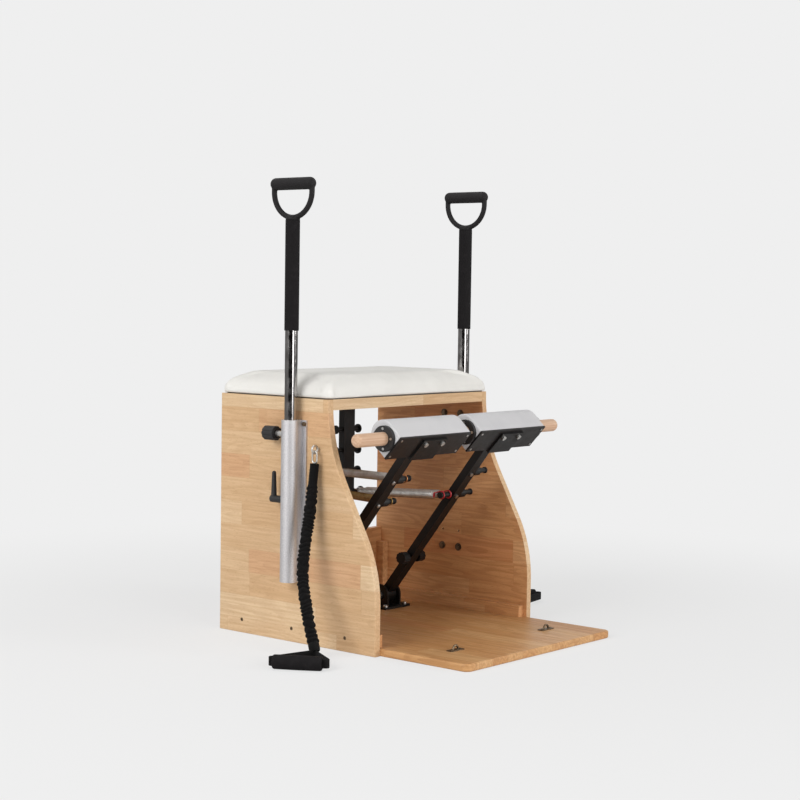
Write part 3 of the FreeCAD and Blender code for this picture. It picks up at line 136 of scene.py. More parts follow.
# Springs: wire, coil and the pegs that they hang between
SPRING_WIRE = 0.0028
SPRING_SIDES = 8
SPRING_RADIUS = 0.0091       # to the wire's middle
SPRING_END_RADIUS = 0.0046
SPRING_END_TURNS = 2.5       # over which a coil narrows
SPRING_PITCH = 0.0034
SPRING_LEAD = 0.0095
COIL_STEPS = 14
LEAD_PULL = 1.6              # of the lead, for the bends between hooks and coil
LEAD_ACROSS = 0.6
LEAD_ALONG = 0.5
LEAD_STEPS = 8
HOOK_PLAY = 0.0012
HOOK_SEAT = 0.0003
HOOK_ARC = range(50, 271, 12)  # degrees round a peg
HOOK_COAT = 1.25             # how much thicker a coated hook is
POST_PEG_RADIUS = 0.005
ARM_PEG_RADIUS = 0.0065
SPRINGS = (                  # name, place on the post's peg, on the arm's peg, coil, front hook
    ("left_upper_spring", (-0.0300, 0.238, 0.379), (-0.0986, -0.0365, 0.3878), "spring_steel", "copper_hook"),
    ("left_lower_spring", (-0.0300, 0.238, 0.326), (-0.0986, 0.0091, 0.3295), "brassy_steel", "bronze"),
    ("right_inner_spring", (0.0223, 0.238, 0.326), (0.1004, 0.0091, 0.3295), "spring_steel", "red_coat"),
    ("right_outer_spring", (0.0464, 0.238, 0.326), (0.1273, 0.0091, 0.3295), "spring_steel", "red_coat"),
)

# Screws, of which those through the panels and those of the floor eyes are dark
PANEL_INSIDE = 0.270
EYE_SCREWS = -0.2
SCREW_SIDES = 36
SCREW_SHARP = math.radians(32)
CHAMFER_SHARES = (0.14, 0.3)  # most of the head's radius, and of its height
SOCKET_SHARE = 0.46          # of the head's radius, to the socket's flats
SOCKET_DEPTHS = (0.6, 0.5)   # most of the head's height, and of its radius
SHANK_FIRST = 0.95           # how much wider an end has to be to count as the head
SAME_POINT = 1e-6

# Soft pieces: size of the grid that a solid is remade on, and rounds of smoothing
SMOOTHING = 0.5
LOOP_VOXEL, LOOP_ROUNDS = 0.0014, 8
COVER_VOXEL, COVER_ROUNDS = 0.0022, 2
CUSHION_VOXEL, CUSHION_ROUNDS = 0.005, 1

# Seat pad
CUSHION_START = 0.003        # how much smaller its top is before it is blown up
CUSHION_SHOULDER = 0.009     # how much fuller its filling makes the sides and shoulders
SHOULDER_LIP = 0.45          # share of that fullness at the lip
SHOULDER_RISE = 1.4          # how fast it grows above the lip
SHOULDER_CROWN = 1.35        # where it starts to fade
SHOULDER_POWER = 4           # how late it fades
CUSHION_HELD = 0.004         # height up to which the cover is held down
CUSHION_PRESSURE = 4
CUSHION_FRAMES = 20
CUSHION_CAP = 0.006          # furthest that the filling pushes a point
TUCK_HEIGHT = 0.0016
TUCK_INSET = 0.03
TUCK_REACH = 0.05
TUCK_COUNT = 14
TUCK_FADE = 1.2
TUCK_RISE = 0.3


def srgb(red, green, blue):
    """Linear colour of an 8-bit one."""
    def linear(value):
        value /= 255
        return value / 12.92 if value <= 0.04045 else ((value + 0.055) / 1.055) ** 2.4
    return (linear(red), linear(green), linear(blue), 1.0)


# Wood
STAVE_WIDTH = 0.057
STAVE_START = 20.37          # keeps the rows' numbers above zero
ROW_SHIFT = 9.0              # furthest that a row's joints are shifted, in blocks
GRAIN_JUMP = 7.0             # furthest that a block's grain lies from the next one's
INNER_FACE = 0.9             # how squarely a face looks inwards to count as a panel's inside

# Stage
BACKGROUND = srgb(239, 239, 239)
FLOOR_HALF = 60.0
FLOOR_SHADOW = 0.3
FLOOR_FADE = (0.55, 2.2)     # distances between which the shadow fades
AMBIENT = 0.19
AMBIENT_COLOUR = (1.0, 0.99, 0.97, 1.0)
CARD_COLOUR = srgb(24, 22, 22)
CARD_DISTANCE = 6.0
CARD_LEFT = math.radians(45)
CARD_RIGHT = math.radians(27)
CARD_LOW = -0.5
CARD_HIGH = 5.0
LAMPS = (                    # name, place, target, size, watts
    ("key", (-5.2, 0.3, 2.8), (0.0, 0.1, 0.4), 4.0, 205.0),
    ("fill", (2.8, -5.2, 1.8), (0.0, 0.0, 0.4), 2.4, 135.0),
    ("front", (-1.6, -5.6, 1.6), (0.0, 0.0, 0.4), 3.0, 115.0),
    ("top", (-0.4, 0.9, 5.2), (0.0, 0.0, 0.5), 2.2, 58.0),
)


def make_camera():
    """Camera at the photograph's place."""
    data = bpy.data.cameras.new("photo_camera")
    data.sensor_width = CAMERA_SENSOR
    data.lens = CAMERA_LENS
    level = math.cos(CAMERA_PITCH)
    ahead = Vector((level * math.cos(CAMERA_YAW), level * math.sin(CAMERA_YAW), math.sin(CAMERA_PITCH)))
    right = ahead.cross(Vector((0, 0, 1))).normalized()
    up = right.cross(ahead)
    turn, lean = math.cos(CAMERA_ROLL), math.sin(CAMERA_ROLL)
    axes = Matrix((right * turn + up * lean, up * turn - right * lean, -ahead)).transposed()
    camera = bpy.data.objects.new("photo_camera", data)
    SCENE.collection.objects.link(camera)
    camera.matrix_world = Matrix.Translation(CAMERA_PLACE) @ axes.to_4x4()
    SCENE.camera = camera


class Nodes:
    """Node tree of a material or a world, with short ways to add to it."""

    def __init__(self, owner):
        owner.use_nodes = True
        self.tree = owner.node_tree

    def feed(self, socket, value):
        """Value or link of any socket."""
        if isinstance(value, bpy.types.NodeSocket):
            self.tree.links.new(value, socket)
        else:
            socket.default_value = value

    def add(self, kind, settings=None, **inputs):
        """New node with its settings and inputs; returns it."""
        node = self.tree.nodes.new("ShaderNode" + kind)
        for key, value in (settings or {}).items():
            setattr(node, key, value)
        for key, value in inputs.items():
            self.feed(node.inputs[key], value)
        return node

    def between(self, factor, first, second):
        """Mixture of two shaders."""
        node = self.add("MixShader", Fac=factor)
        self.feed(node.inputs[1], first)
        self.feed(node.inputs[2], second)
        return node.outputs[0]

    def place(self):
        """Position in the frame, in metres."""
        return self.add("TexCoord").outputs["Object"]

    def stretched(self, scale, vector=None):
        """Position scaled along each axis."""
        node = self.add("Mapping", Scale=scale, Vector=vector or self.place())
        return node.outputs["Vector"]

    def noise(self, vector, scale=1.0, detail=3.0, roughness=0.5):
        """Cloud noise, 0 to 1."""
        node = self.add("TexNoise", Vector=vector, Scale=scale, Detail=detail, Roughness=roughness)
        return node.outputs["Fac"]

    def cells(self, vector, scale, feature="F1"):
        """Distance in a cell pattern."""
        node = self.add("TexVoronoi", {"feature": feature}, Vector=vector, Scale=scale)
        return node.outputs["Distance"]

    def math(self, operation, first, second=0.0):
        """One step of arithmetic."""
        node = self.add("Math", {"operation": operation})
        self.feed(node.inputs[0], first)
        self.feed(node.inputs[1], second)
        return node.outputs[0]

    def ramp(self, factor, low, high, start=0.0, end=1.0):
        """Value that goes smoothly from start to end while the factor goes from low to high."""
        node = self.add("MapRange", {"interpolation_type": "SMOOTHSTEP"}, Value=factor)
        for socket, value in (("From Min", low), ("From Max", high), ("To Min", start), ("To Max", end)):
            self.feed(node.inputs[socket], value)
        return node.outputs["Result"]

    def mix(self, factor, first, second, blend="MIX"):
        """Colour between two."""
        node = self.add("Mix", {"data_type": "RGBA", "blend_type": blend})
        self.feed(node.inputs["Factor"], factor)
        self.feed(node.inputs[6], first)
        self.feed(node.inputs[7], second)
        return node.outputs[2]


class Paint(Nodes):
    """Nodes of one material that feed its shader."""

    def __init__(self, name, **sockets):
        self.material = bpy.data.materials.new(name)
        super().__init__(self.material)
        self.shader = self.tree.nodes["Principled BSDF"]
        for socket, value in sockets.items():
            self.set(socket.replace("_", " "), value)

    def set(self, socket, value):
        """Value or link of one of the shader's sockets."""
        self.feed(self.shader.inputs[socket], value)

    def bump(self, height, distance, strength):
        """Fine relief from a height."""
        node = self.add("Bump", Height=height, Distance=distance, Strength=strength)
        self.set("Normal", node.outputs["Normal"])


def stave_wood(name, along, across, light, mid, dark, block=0.36, seed=0.0, figured=0.15):
    """Lacquered wood glued up from staves, whose grain runs along one axis and rows lie across another."""
    paint = Paint(name, Specular_IOR_Level=0.35)
    axes = paint.add("SeparateXYZ", Vector=paint.place()).outputs
    third = ({"X", "Y", "Z"} - {along, across}).pop()
    run, rows, deep = axes[along], axes[across], axes[third]
    place = paint.math("ADD", paint.math("DIVIDE", rows, STAVE_WIDTH), STAVE_START + seed)
    row = paint.math("FLOOR", place)
    shift = paint.add("TexWhiteNoise", {"noise_dimensions": "1D"}, W=row).outputs["Value"]
    length = paint.math("ADD", paint.math("DIVIDE", run, block), paint.math("MULTIPLY", shift, ROW_SHIFT))
    number = paint.math("FLOOR", length)
    key = paint.add("CombineXYZ", X=row, Y=number).outputs["Vector"]
    own = paint.add("TexWhiteNoise", {"noise_dimensions": "2D"}, Vector=key).outputs
    jump = paint.math("MULTIPLY", own["Value"], GRAIN_JUMP)
    grain = paint.add("CombineXYZ", X=paint.math("ADD", run, jump), Y=rows, Z=paint.math("ADD", deep, jump))
    grain = grain.outputs["Vector"]
    figure = paint.noise(paint.stretched((2.6, 20, 20), grain), detail=2.0)
    rings = paint.math("FRACT", paint.math("MULTIPLY", figure, 11.0))
    rings = paint.math("MULTIPLY", paint.ramp(rings, 0.0, 0.75), paint.ramp(rings, 1.0, 0.86))
    streaks = paint.noise(paint.stretched((5, 170, 170), grain), detail=4.0, roughness=0.6)
    pores = paint.noise(paint.stretched((110, 760, 760), grain), detail=2.0)
    colour = paint.mix(paint.ramp(streaks, 0.34, 0.68), light, mid)
    colour = paint.mix(paint.ramp(rings, 0.35, 1.0, 0.0, figured), colour, dark)
    colour = paint.mix(paint.ramp(pores, 0.58, 0.70, 0.0, 0.40), colour, dark)
    tone = paint.ramp(own["Value"], 0.0, 1.0, 0.0, 0.42)
    colour = paint.mix(tone, colour, paint.mix(1.0, colour, srgb(226, 196, 160), "MULTIPLY"))
    ruddy = paint.ramp(paint.add("SeparateColor", Color=own["Color"]).outputs["Green"], 0.82, 0.94, 0.0, 0.30)
    colour = paint.mix(ruddy, colour, paint.mix(1.0, colour, srgb(236, 178, 150), "MULTIPLY"))
    seam = paint.math("ABSOLUTE", paint.math("SUBTRACT", paint.math("FRACT", place), 0.5))
    end = paint.math("ABSOLUTE", paint.math("SUBTRACT", paint.math("FRACT", length), 0.5))
    joint = paint.math("MAXIMUM", paint.ramp(seam, 0.488, 0.498), paint.ramp(end, 0.497, 0.4995))
    colour = paint.mix(paint.math("MULTIPLY", joint, 0.28), colour, dark)
    paint.set("Base Color", colour)
    paint.set("Roughness", paint.ramp(streaks, 0.3, 0.7, 0.38, 0.52))
    height = paint.math("SUBTRACT", paint.math("MULTIPLY", streaks, 0.5), paint.math("MULTIPLY", joint, 0.6))
    height = paint.math("SUBTRACT", height, paint.math("MULTIPLY", pores, 0.35))
    paint.bump(height, 0.0004, 0.35)
    return paint.material


def dowel_wood():
    """Fine pale wood with its grain along X."""
    paint = Paint("dowel_wood")
    streaks = paint.noise(paint.stretched((6, 260, 260)), detail=4.0, roughness=0.6)
    pores = paint.noise(paint.stretched((70, 1500, 1500)), detail=2.0)
    colour = paint.mix(paint.ramp(streaks, 0.3, 0.7), srgb(208, 176, 148), srgb(190, 150, 120))
    colour = paint.mix(paint.ramp(pores, 0.6, 0.72, 0.0, 0.4), colour, srgb(160, 116, 84))
    paint.set("Base Color", colour)
    paint.set("Roughness", paint.ramp(streaks, 0.3, 0.7, 0.42, 0.56))
    paint.bump(pores, 0.0003, -0.3)
    return paint.material


def vinyl(name, colour, shade):
    """Soft vinyl with a fine leather grain."""
    paint = Paint(name, Specular_IOR_Level=0.4)
    patches = paint.noise(paint.place(), scale=9.0, detail=3.0)
    paint.set("Base Color", paint.mix(paint.ramp(patches, 0.35, 0.7), colour, shade))
    grain = paint.cells(paint.place(), 950.0, "DISTANCE_TO_EDGE")
    fine = paint.noise(paint.place(), scale=700.0, detail=2.0)
    paint.set("Roughness", paint.ramp(patches, 0.3, 0.7, 0.46, 0.58))
    folds = paint.noise(paint.place(), scale=38.0, detail=2.0)
    height = paint.math("ADD", paint.ramp(grain, 0.0, 0.18, 0.0, 0.5), paint.math("MULTIPLY", fine, 0.4))
    height = paint.math("ADD", height, paint.math("MULTIPLY", folds, 1.6))
    paint.bump(height, 0.0005, 0.3)
    return paint.material


def coated_metal(name, colour, worn, roughness=0.42):
    """Powder coat with orange peel and a little rub on it."""
    paint = Paint(name, Specular_IOR_Level=0.28)
    rub = paint.noise(paint.place(), scale=26.0, detail=6.0, roughness=0.65)
    peel = paint.noise(paint.place(), scale=900.0, detail=2.0)
    paint.set("Base Color", paint.mix(paint.ramp(rub, 0.52, 0.78), colour, worn))
    paint.set("Roughness", paint.ramp(rub, 0.3, 0.75, roughness, roughness + 0.16))
    paint.bump(peel, 0.0003, 0.35)
    return paint.material


def moulded_plastic(name, colour, lighter, roughness=0.5, shine=0.5):
    """Plastic with a fine spark-eroded grain."""
    paint = Paint(name, Specular_IOR_Level=shine)
    patches = paint.noise(paint.place(), scale=40.0, detail=4.0)
    grain = paint.noise(paint.place(), scale=1600.0, detail=1.0)
    paint.set("Base Color", paint.mix(paint.ramp(patches, 0.4, 0.75), colour, lighter))
    paint.set("Roughness", paint.ramp(patches, 0.3, 0.7, roughness - 0.06, roughness + 0.10))
    paint.bump(grain, 0.0003, 0.4)
    return paint.material


def foam():
    """Closed-cell foam rubber."""
    paint = Paint("black_foam", Specular_IOR_Level=0.12)
    cells = paint.cells(paint.place(), 700.0)
    dust = paint.noise(paint.place(), scale=60.0, detail=5.0)
    paint.set("Base Color", paint.mix(paint.ramp(dust, 0.4, 0.75), srgb(22, 20, 21), srgb(31, 29, 30)))
    paint.set("Roughness", paint.ramp(dust, 0.3, 0.7, 0.72, 0.86))
    paint.bump(cells, 0.0006, 0.5)
    return paint.material


def plated(name, colour, roughness, tint, scratches=0.3):
    """Bright plated steel with faint scratches."""
    paint = Paint(name, Metallic=1.0)
    smear = paint.noise(paint.place(), scale=55.0, detail=5.0, roughness=0.6)
    scratch = paint.noise(paint.stretched((900, 120, 120)), detail=2.0)
    paint.set("Base Color", paint.mix(paint.ramp(smear, 0.35, 0.75), colour, tint))
    paint.set("Roughness", paint.ramp(smear, 0.3, 0.75, roughness, roughness + 0.12))
    paint.bump(scratch, 0.0001, scratches)
    return paint.material


def satin_aluminium():
    """Anodised extrusion with fine lines along Z."""
    paint = Paint("satin_aluminium", Metallic=1.0)
    lines = paint.noise(paint.stretched((2600, 2600, 6)), detail=2.0)
    specks = paint.noise(paint.place(), scale=420.0, detail=3.0)
    paint.set("Base Color", paint.mix(paint.ramp(specks, 0.3, 0.7), srgb(206, 204, 205), srgb(188, 186, 188)))
    paint.set("Roughness", paint.ramp(lines, 0.3, 0.7, 0.48, 0.60))
    paint.bump(paint.math("ADD", lines, paint.math("MULTIPLY", specks, 0.6)), 0.0002, 0.35)
    return paint.material


def cloth(name, colour, lighter, across, along):
    """Woven nylon."""
    paint = Paint(name, Specular_IOR_Level=0.12, Sheen_Weight=0.03)
    threads = paint.cells(paint.stretched((across, across, along)), 1.0)
    wear = paint.noise(paint.place(), scale=70.0, detail=4.0)
    paint.set("Base Color", paint.mix(paint.ramp(wear, 0.35, 0.75), colour, lighter))
    paint.set("Roughness", paint.ramp(wear, 0.3, 0.7, 0.80, 0.94))
    paint.bump(threads, 0.0006, 0.5)
    return paint.material


def dress(node, *materials):
    """Give a node of the frame its materials."""
    mesh = NODES[node].data
    mesh.materials.clear()
    for material in materials:
        mesh.materials.append(material)


def new_object(name, vertices, faces, material):
    """Mesh object from points and faces."""
    mesh = bpy.data.meshes.new(name)
    mesh.from_pydata([tuple(vertex) for vertex in vertices], [], faces)
    mesh.update()
    mesh.polygons.foreach_set("use_smooth", [True] * len(mesh.polygons))
    mesh.materials.append(material)
    piece = bpy.data.objects.new(name, mesh)
    SCENE.collection.objects.link(piece)
    return piece


def put(piece, body, slot, *nodes):
    """Ride a piece on a body and hide the nodes that it stands for; its slot is not used."""
    if nodes:
        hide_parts(*nodes)
    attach(piece, body)


def ring_frames(points):
    """Two directions square to a line at each of its points, carried along without twist."""
    steps = [(b - a).normalized() for a, b in zip(points, points[1:])]
    ways = [steps[0]] + [(a + b).normalized() for a, b in zip(steps, steps[1:])] + [steps[-1]]
    side = ways[0].orthogonal().normalized()
    frames = []
    for way in ways:
        side = (side - way * side.dot(way)).normalized()
        frames.append((side, way.cross(side)))
    return frames


def ring_points(centre, side, other, radius, sides):
    """Points round a centre in the plane of two directions; radius takes an angle."""
    points = []
    for step in range(sides):
        angle = 2 * math.pi * step / sides
        points.append(centre + (side * math.cos(angle) + other * math.sin(angle)) * radius(angle))
    return points


def ring_faces(rings, sides, closed=False, base=0):
    """Quads that join each ring of points to the next one, and the last to the first if closed."""
    faces = []
    for ring in range(rings if closed else rings - 1):
        low, high = base + ring * sides, base + (ring + 1) % rings * sides
        for step in range(sides):
            after = (step + 1) % sides
            faces.append((low + step, low + after, high + after, high + step))
    return faces


def end_faces(rings, sides, base=0):
    """Caps of the first and the last ring."""
    last = base + (rings - 1) * sides
    return [tuple(reversed(range(base, base + sides))), tuple(range(last, last + sides))]


def tube_mesh(points, radius, sides):
    """Vertices and faces of a closed tube; radius takes a ring's number and an angle."""
    vertices = []
    for index, (point, (side, other)) in enumerate(zip(points, ring_frames(points))):
        vertices += ring_points(point, side, other, lambda angle: radius(index, angle), sides)
    return vertices, ring_faces(len(points), sides) + end_faces(len(points), sides)


def route_line(points):
    """Points along the smooth line that a route's points control."""
    curve = bpy.data.curves.new("route", "CURVE")
    curve.dimensions = "3D"
    curve.resolution_u = ROUTE_RESOLUTION
    spline = curve.splines.new("NURBS")
    spline.points.add(len(points) - 1)
    for spot, point in zip(spline.points, points):
        spot.co = (*point, 1)
    spline.order_u = 3
    spline.use_endpoint_u = True
    holder = bpy.data.objects.new("route", curve)
    mesh = bpy.data.meshes.new_from_object(holder)
    line = [vertex.co.copy() for vertex in mesh.vertices]
    bpy.data.meshes.remove(mesh)
    bpy.data.objects.remove(holder)
    bpy.data.curves.remove(curve)
    return line


def side_point(way, aside, reach, height):
    """Point beside a panel, from its face, the chair's back edge and the floor."""
    return Vector((way * (HALF_WIDTH + aside), HALF_DEPTH - reach, height))


def lathe(profile, start, axis, sides):
    """Vertices and faces turned round an axis from (along, radius) pairs, closed from last to first."""
    axis = axis.normalized()
    side = axis.orthogonal().normalized()
    other = axis.cross(side)
    vertices = []
    for along, radius in profile:
        vertices += ring_points(start + axis * along, side, other, lambda angle: radius, sides)
    return vertices, ring_faces(len(profile), sides, closed=True)


def rounded_corners(corners, radius, steps):
    """Closed loop through corners, each turned on an arc."""
    loop = []
    for index, corner in enumerate(corners):
        before = (corners[index - 1] - corner).normalized()
        after = (corners[(index + 1) % len(corners)] - corner).normalized()
        half = before.angle(after) / 2
        setback = radius / math.tan(half)
        centre = corner + (before + after).normalized() * (radius / math.sin(half))
        start = corner + before * setback - centre
        end = corner + after * setback - centre
        for step in range(steps + 1):
            loop.append(centre + start.normalized().slerp(end.normalized(), step / steps) * radius)
    return loop


def strap_mesh(loop, bottom):
    """Flat webbing standing on edge along a closed level loop, with soft edges."""
    bevel = STRAP_THICKNESS * STRAP_BEVEL
    inner = 0.5 - STRAP_BEVEL
    section = (
        (-0.5, bevel), (-inner, 0), (inner, 0), (0.5, bevel), (0.5, STRAP_HEIGHT - bevel),
        (inner, STRAP_HEIGHT), (-inner, STRAP_HEIGHT), (-0.5, STRAP_HEIGHT - bevel),
    )
    vertices = []
    for index, point in enumerate(loop):
        way = (loop[(index + 1) % len(loop)] - loop[index - 1]).normalized()
        out = Vector((way.y, -way.x, 0))
        for aside, up in section:
            vertices.append(point + out * (aside * STRAP_THICKNESS) + Vector((0, 0, bottom + up)))
    faces = ring_faces(len(loop), len(section), closed=True)
    return vertices, [tuple(reversed(face)) for face in faces]


def waves(table, angle, along):
    """Sum of the waves in a table at one place on a band."""
    return sum(size * math.sin(turns * angle + rate * along + start) for size, turns, rate, start in table)


def gathered(lengths):
    """Radius of a band: smooth neck, then cloth gathered in uneven puffs round the cord."""
    total = lengths[-1]

    def radius(index, angle):
        along = lengths[index]
        if along < BAND_NECK:
            hem = max(0.0, 1 - (BAND_NECK - along) / NECK_HEM_LENGTH)
            return NECK_RADIUS + NECK_HEM * hem + NECK_RIPPLE * math.sin(along * NECK_RIPPLE_RATE)
        wave = along / PUFF_PITCH + waves(PUFF_DRIFT, angle, along)
        puff = abs(math.sin(math.pi * wave)) ** PUFF_POWER
        swell = SWELL_MIDDLE + waves(SWELL, angle, along)
        taper = min(1.0, (along - BAND_NECK) / TAPER_LENGTH, (total - along) / TAPER_LENGTH + TAPER_END)
        fold = waves(FOLDS, angle, along)
        out = PUFF_HEIGHT * puff + FOLD_HEIGHT * fold * puff + SWELL_HEIGHT * swell
        return (CLOTH_RADIUS + out) * (1 - TAPER_DEPTH + TAPER_DEPTH * taper)

    return radius


def make_stitches(name, flat, run, tip, bottom, materials):
    """Pale thread sewn in two rows on the webbing's two legs, beside the ferrule."""
    vertices, faces = [], []
    tip = Vector((tip.x, tip.y, 0))
    for end, rival in ((flat - run, flat + run), (flat + run, flat - run)):
        leg = (end - tip).normalized()
        out = Vector((leg.y, -leg.x, 0))
        if out.dot(rival - tip) > 0:
            out = -out
        for number in range(STITCH_COUNT):
            start = tip + leg * (STITCH_FIRST + number * STITCH_PITCH) + out * (STRAP_THICKNESS / 2)
            for up in STITCH_ROWS:
                row = Vector((0, 0, bottom + STRAP_HEIGHT * up))
                thread = []
                for share in STITCH_RINGS:
                    arch = out * (STITCH_ARCH * math.sin(math.pi * share))
                    thread.append(start + row + leg * (STITCH_LENGTH * share) + arch)
                new, quads = tube_mesh(thread, lambda ring, angle: STITCH_RADIUS, STITCH_SIDES)
                faces += [tuple(len(vertices) + index for index in quad) for quad in quads]
                vertices += new
    threads = new_object(name + "_band_stitches", vertices, faces, materials["thread"])
    put(threads, "frame", "black_webbing")
    return threads


def make_foam(name, middle, axis, materials):
    """Foam tube of a hand grip."""
    bore = math.hypot(STRAP_HEIGHT, STRAP_THICKNESS) / 2 + STRAP_PLAY
    end = [(-GRIP_HALF + GRIP_EDGE * (1 - math.cos(angle)), GRIP_RADIUS - GRIP_EDGE * (1 - math.sin(angle)))
           for angle in np.linspace(0, math.pi / 2, GRIP_EDGE_STEPS)]
    profile = end + [(share * GRIP_HALF, GRIP_RADIUS + GRIP_BULGE * (1 - share ** 2)) for share in GRIP_RINGS]
    profile += [(-along, radius) for along, radius in reversed(end)]
    profile += [(GRIP_HALF - GRIP_BORE_INSET, bore), (GRIP_BORE_INSET - GRIP_HALF, bore)]
    shape = lathe(profile, middle, axis, GRIP_SIDES)
    foam_grip = new_object(name + "_band_foam", *shape, materials["black_foam"])
    put(foam_grip, "frame", "black_foam", name + "_band_grip")
    return foam_grip


def make_band(name, way, route, grip, materials):
    """A band with its gathered sleeve, ferrule, webbing loop and foam hand grip."""
    points = [side_point(way, *spot) for spot in route]
    line = route_line(points)
    lengths = [0.0]
    for a, b in zip(line, line[1:]):
        lengths.append(lengths[-1] + (b - a).length)
    shape = tube_mesh(line, gathered(lengths), BAND_SIDES)
    band = new_object(name + "_band_sleeve", *shape, materials["gathered_cloth"])
    put(band, "frame", "black_webbing", name + "_band")

    (aside, reach), turn = grip
    middle = side_point(way, aside, reach, GRIP_RADIUS)
    axis = Vector((-way * math.cos(turn), -math.sin(turn), 0))
    foam_grip = make_foam(name, middle, axis, materials)

    way_down = (points[-1] - points[-2]).normalized()
    tip = points[-1] + way_down * FERRULE_LENGTH
    run = axis * (GRIP_HALF + STRAP_OVERRUN)
    flat = Vector((middle.x, middle.y, 0))
    corners = [flat - run, flat + run, Vector((tip.x, tip.y, 0))]
    if (corners[1] - corners[0]).cross(corners[2] - corners[0]).z < 0:
        corners.reverse()
    loop = rounded_corners(corners, STRAP_CORNER, STRAP_CORNER_STEPS)
    bottom = GRIP_RADIUS - STRAP_HEIGHT / 2
    webbing = new_object(name + "_band_webbing", *strap_mesh(loop, bottom), materials["webbing"])
    put(webbing, "frame", "black_webbing", name + "_band_strap")
    shape = lathe(FERRULE_SHAPE, points[-1], way_down, FERRULE_SIDES)
    ferrule = new_object(name + "_band_ferrule", *shape, materials["webbing"])
    put(ferrule, "frame", "black_webbing")
    threads = make_stitches(name, flat, run, tip, bottom, materials)


def hermite(first, first_way, last, last_way, steps):
    """Points of a smooth bend between two places, without its two ends."""
    spots = []
    for step in range(1, steps):
        t = step / steps
        spots.append(first * (2 * t ** 3 - 3 * t ** 2 + 1) + first_way * (t ** 3 - 2 * t ** 2 + t)
                     + last * (3 * t ** 2 - 2 * t ** 3) + last_way * (t ** 3 - t ** 2))
    return spots


def spring_line(first, second):
    """Wire's middle line of a close-wound spring hooked round two pegs, and the last coil's place in it."""
    span = (second - first).length
    axis = (second - first) / span
    across = (Vector((1, 0, 0)) - axis * axis.x).normalized()
    low = axis.cross(across)
    flat = Vector((0, axis.y, axis.z)).normalized()
    flat_low = flat.cross(Vector((1, 0, 0)))

    def hook(peg, radius, toward):
        ring = radius + SPRING_WIRE / 2 + HOOK_PLAY
        centre = peg + toward * (HOOK_PLAY - HOOK_SEAT)
        spots = []
        for degrees in HOOK_ARC:
            angle = math.radians(degrees)
            spots.append(centre + toward * (ring * math.cos(angle)) - flat_low * (ring * math.sin(angle)))
        angle = math.radians(degrees)
        return spots, toward * -math.sin(angle) - flat_low * math.cos(angle), ring

    opening, opening_way, opening_ring = hook(first, POST_PEG_RADIUS, flat)
    closing, closing_way, closing_ring = hook(second, ARM_PEG_RADIUS, -flat)
    start = opening_ring + SPRING_LEAD
    end = span - closing_ring - SPRING_LEAD
    turns = int((end - start) / SPRING_PITCH)
    coil = []
    steps = turns * COIL_STEPS
    for step in range(steps + 1):
        from_end = min(step, steps - step) / COIL_STEPS
        share = min(1.0, from_end / SPRING_END_TURNS)
        radius = SPRING_END_RADIUS + (SPRING_RADIUS - SPRING_END_RADIUS) * share * (2 - share)
        angle = 2 * math.pi * step / COIL_STEPS
        place = start + (end - start) * step / steps
        coil.append(first + axis * place + (low * math.cos(angle) + across * math.sin(angle)) * radius)
    lead = SPRING_LEAD * LEAD_PULL
    coil_way = across * (lead * LEAD_ACROSS) + axis * (lead * LEAD_ALONG)
    near = hermite(opening[-1], opening_way * lead, coil[0], coil_way, LEAD_STEPS)
    far = hermite(coil[-1], coil_way, closing[-1], -closing_way * lead, LEAD_STEPS)
    front = len(opening) + len(near) + len(coil) - COIL_STEPS
    return opening + near + coil + far + list(reversed(closing)), front


def make_spring(name, first, second, coil_material, hook_material, materials):
    """A spring that stretches between its post and a pedal arm, its front hook in another finish."""
    first, second = Vector(first), Vector(second)
    line, front = spring_line(first, second)
    thick = SPRING_WIRE / 2
    coated = thick * HOOK_COAT if hook_material == "red_coat" else thick

    def radius(ring, angle):
        return coated if ring > front + COIL_STEPS else thick

    piece = new_object(name + "_coil", *tube_mesh(line, radius, SPRING_SIDES), materials[coil_material])
    piece.data.materials.append(materials[hook_material])
    shades = [int(face.index >= front * SPRING_SIDES) for face in piece.data.polygons]
    piece.data.polygons.foreach_set("material_index", shades)
    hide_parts(name)
    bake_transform(piece)


def settled(piece):
    """Turn a piece's modifiers into its mesh."""
    shape = bpy.data.meshes.new_from_object(piece.evaluated_get(bpy.context.evaluated_depsgraph_get()))
    piece.modifiers.clear()
    old = piece.data
    piece.data = shape
    bpy.data.meshes.remove(old)
    shape.polygons.foreach_set("use_smooth", [True] * len(shape.polygons))


def softened(node, name, voxel, rounds, material):
    """New object of a node's shape with its edges worn round."""
    source = NODES[node]
    mesh = source.data.copy()
    mesh.transform(source.matrix_world)
    mesh.materials.clear()
    mesh.materials.append(material)
    piece = bpy.data.objects.new(name, mesh)
    SCENE.collection.objects.link(piece)
    remesh = piece.modifiers.new("remesh", "REMESH")
    remesh.mode = "VOXEL"
    remesh.voxel_size = voxel
    smooth = piece.modifiers.new("smooth", "SMOOTH")
    smooth.factor = SMOOTHING
    smooth.iterations = rounds
    settled(piece)
    return piece


def loose_solids(node):
    """Points of each separate solid of a node."""
    source = NODES[node]
    shape = bmesh.new()
    shape.from_mesh(source.data)
    shape.transform(source.matrix_world)
    bmesh.ops.remove_doubles(shape, verts=shape.verts, dist=SAME_POINT)
    solids, seen = [], set()
    for first in shape.verts:
        if first in seen:
            continue
        seen.add(first)
        solid, open_ends = [], [first]
        while open_ends:
            vertex = open_ends.pop()
            solid.append(tuple(vertex.co))
            for edge in vertex.link_edges:
                other = edge.other_vert(vertex)
                if other not in seen:
                    seen.add(other)
                    open_ends.append(other)
        solids.append(np.array(solid))
    shape.free()
    return solids


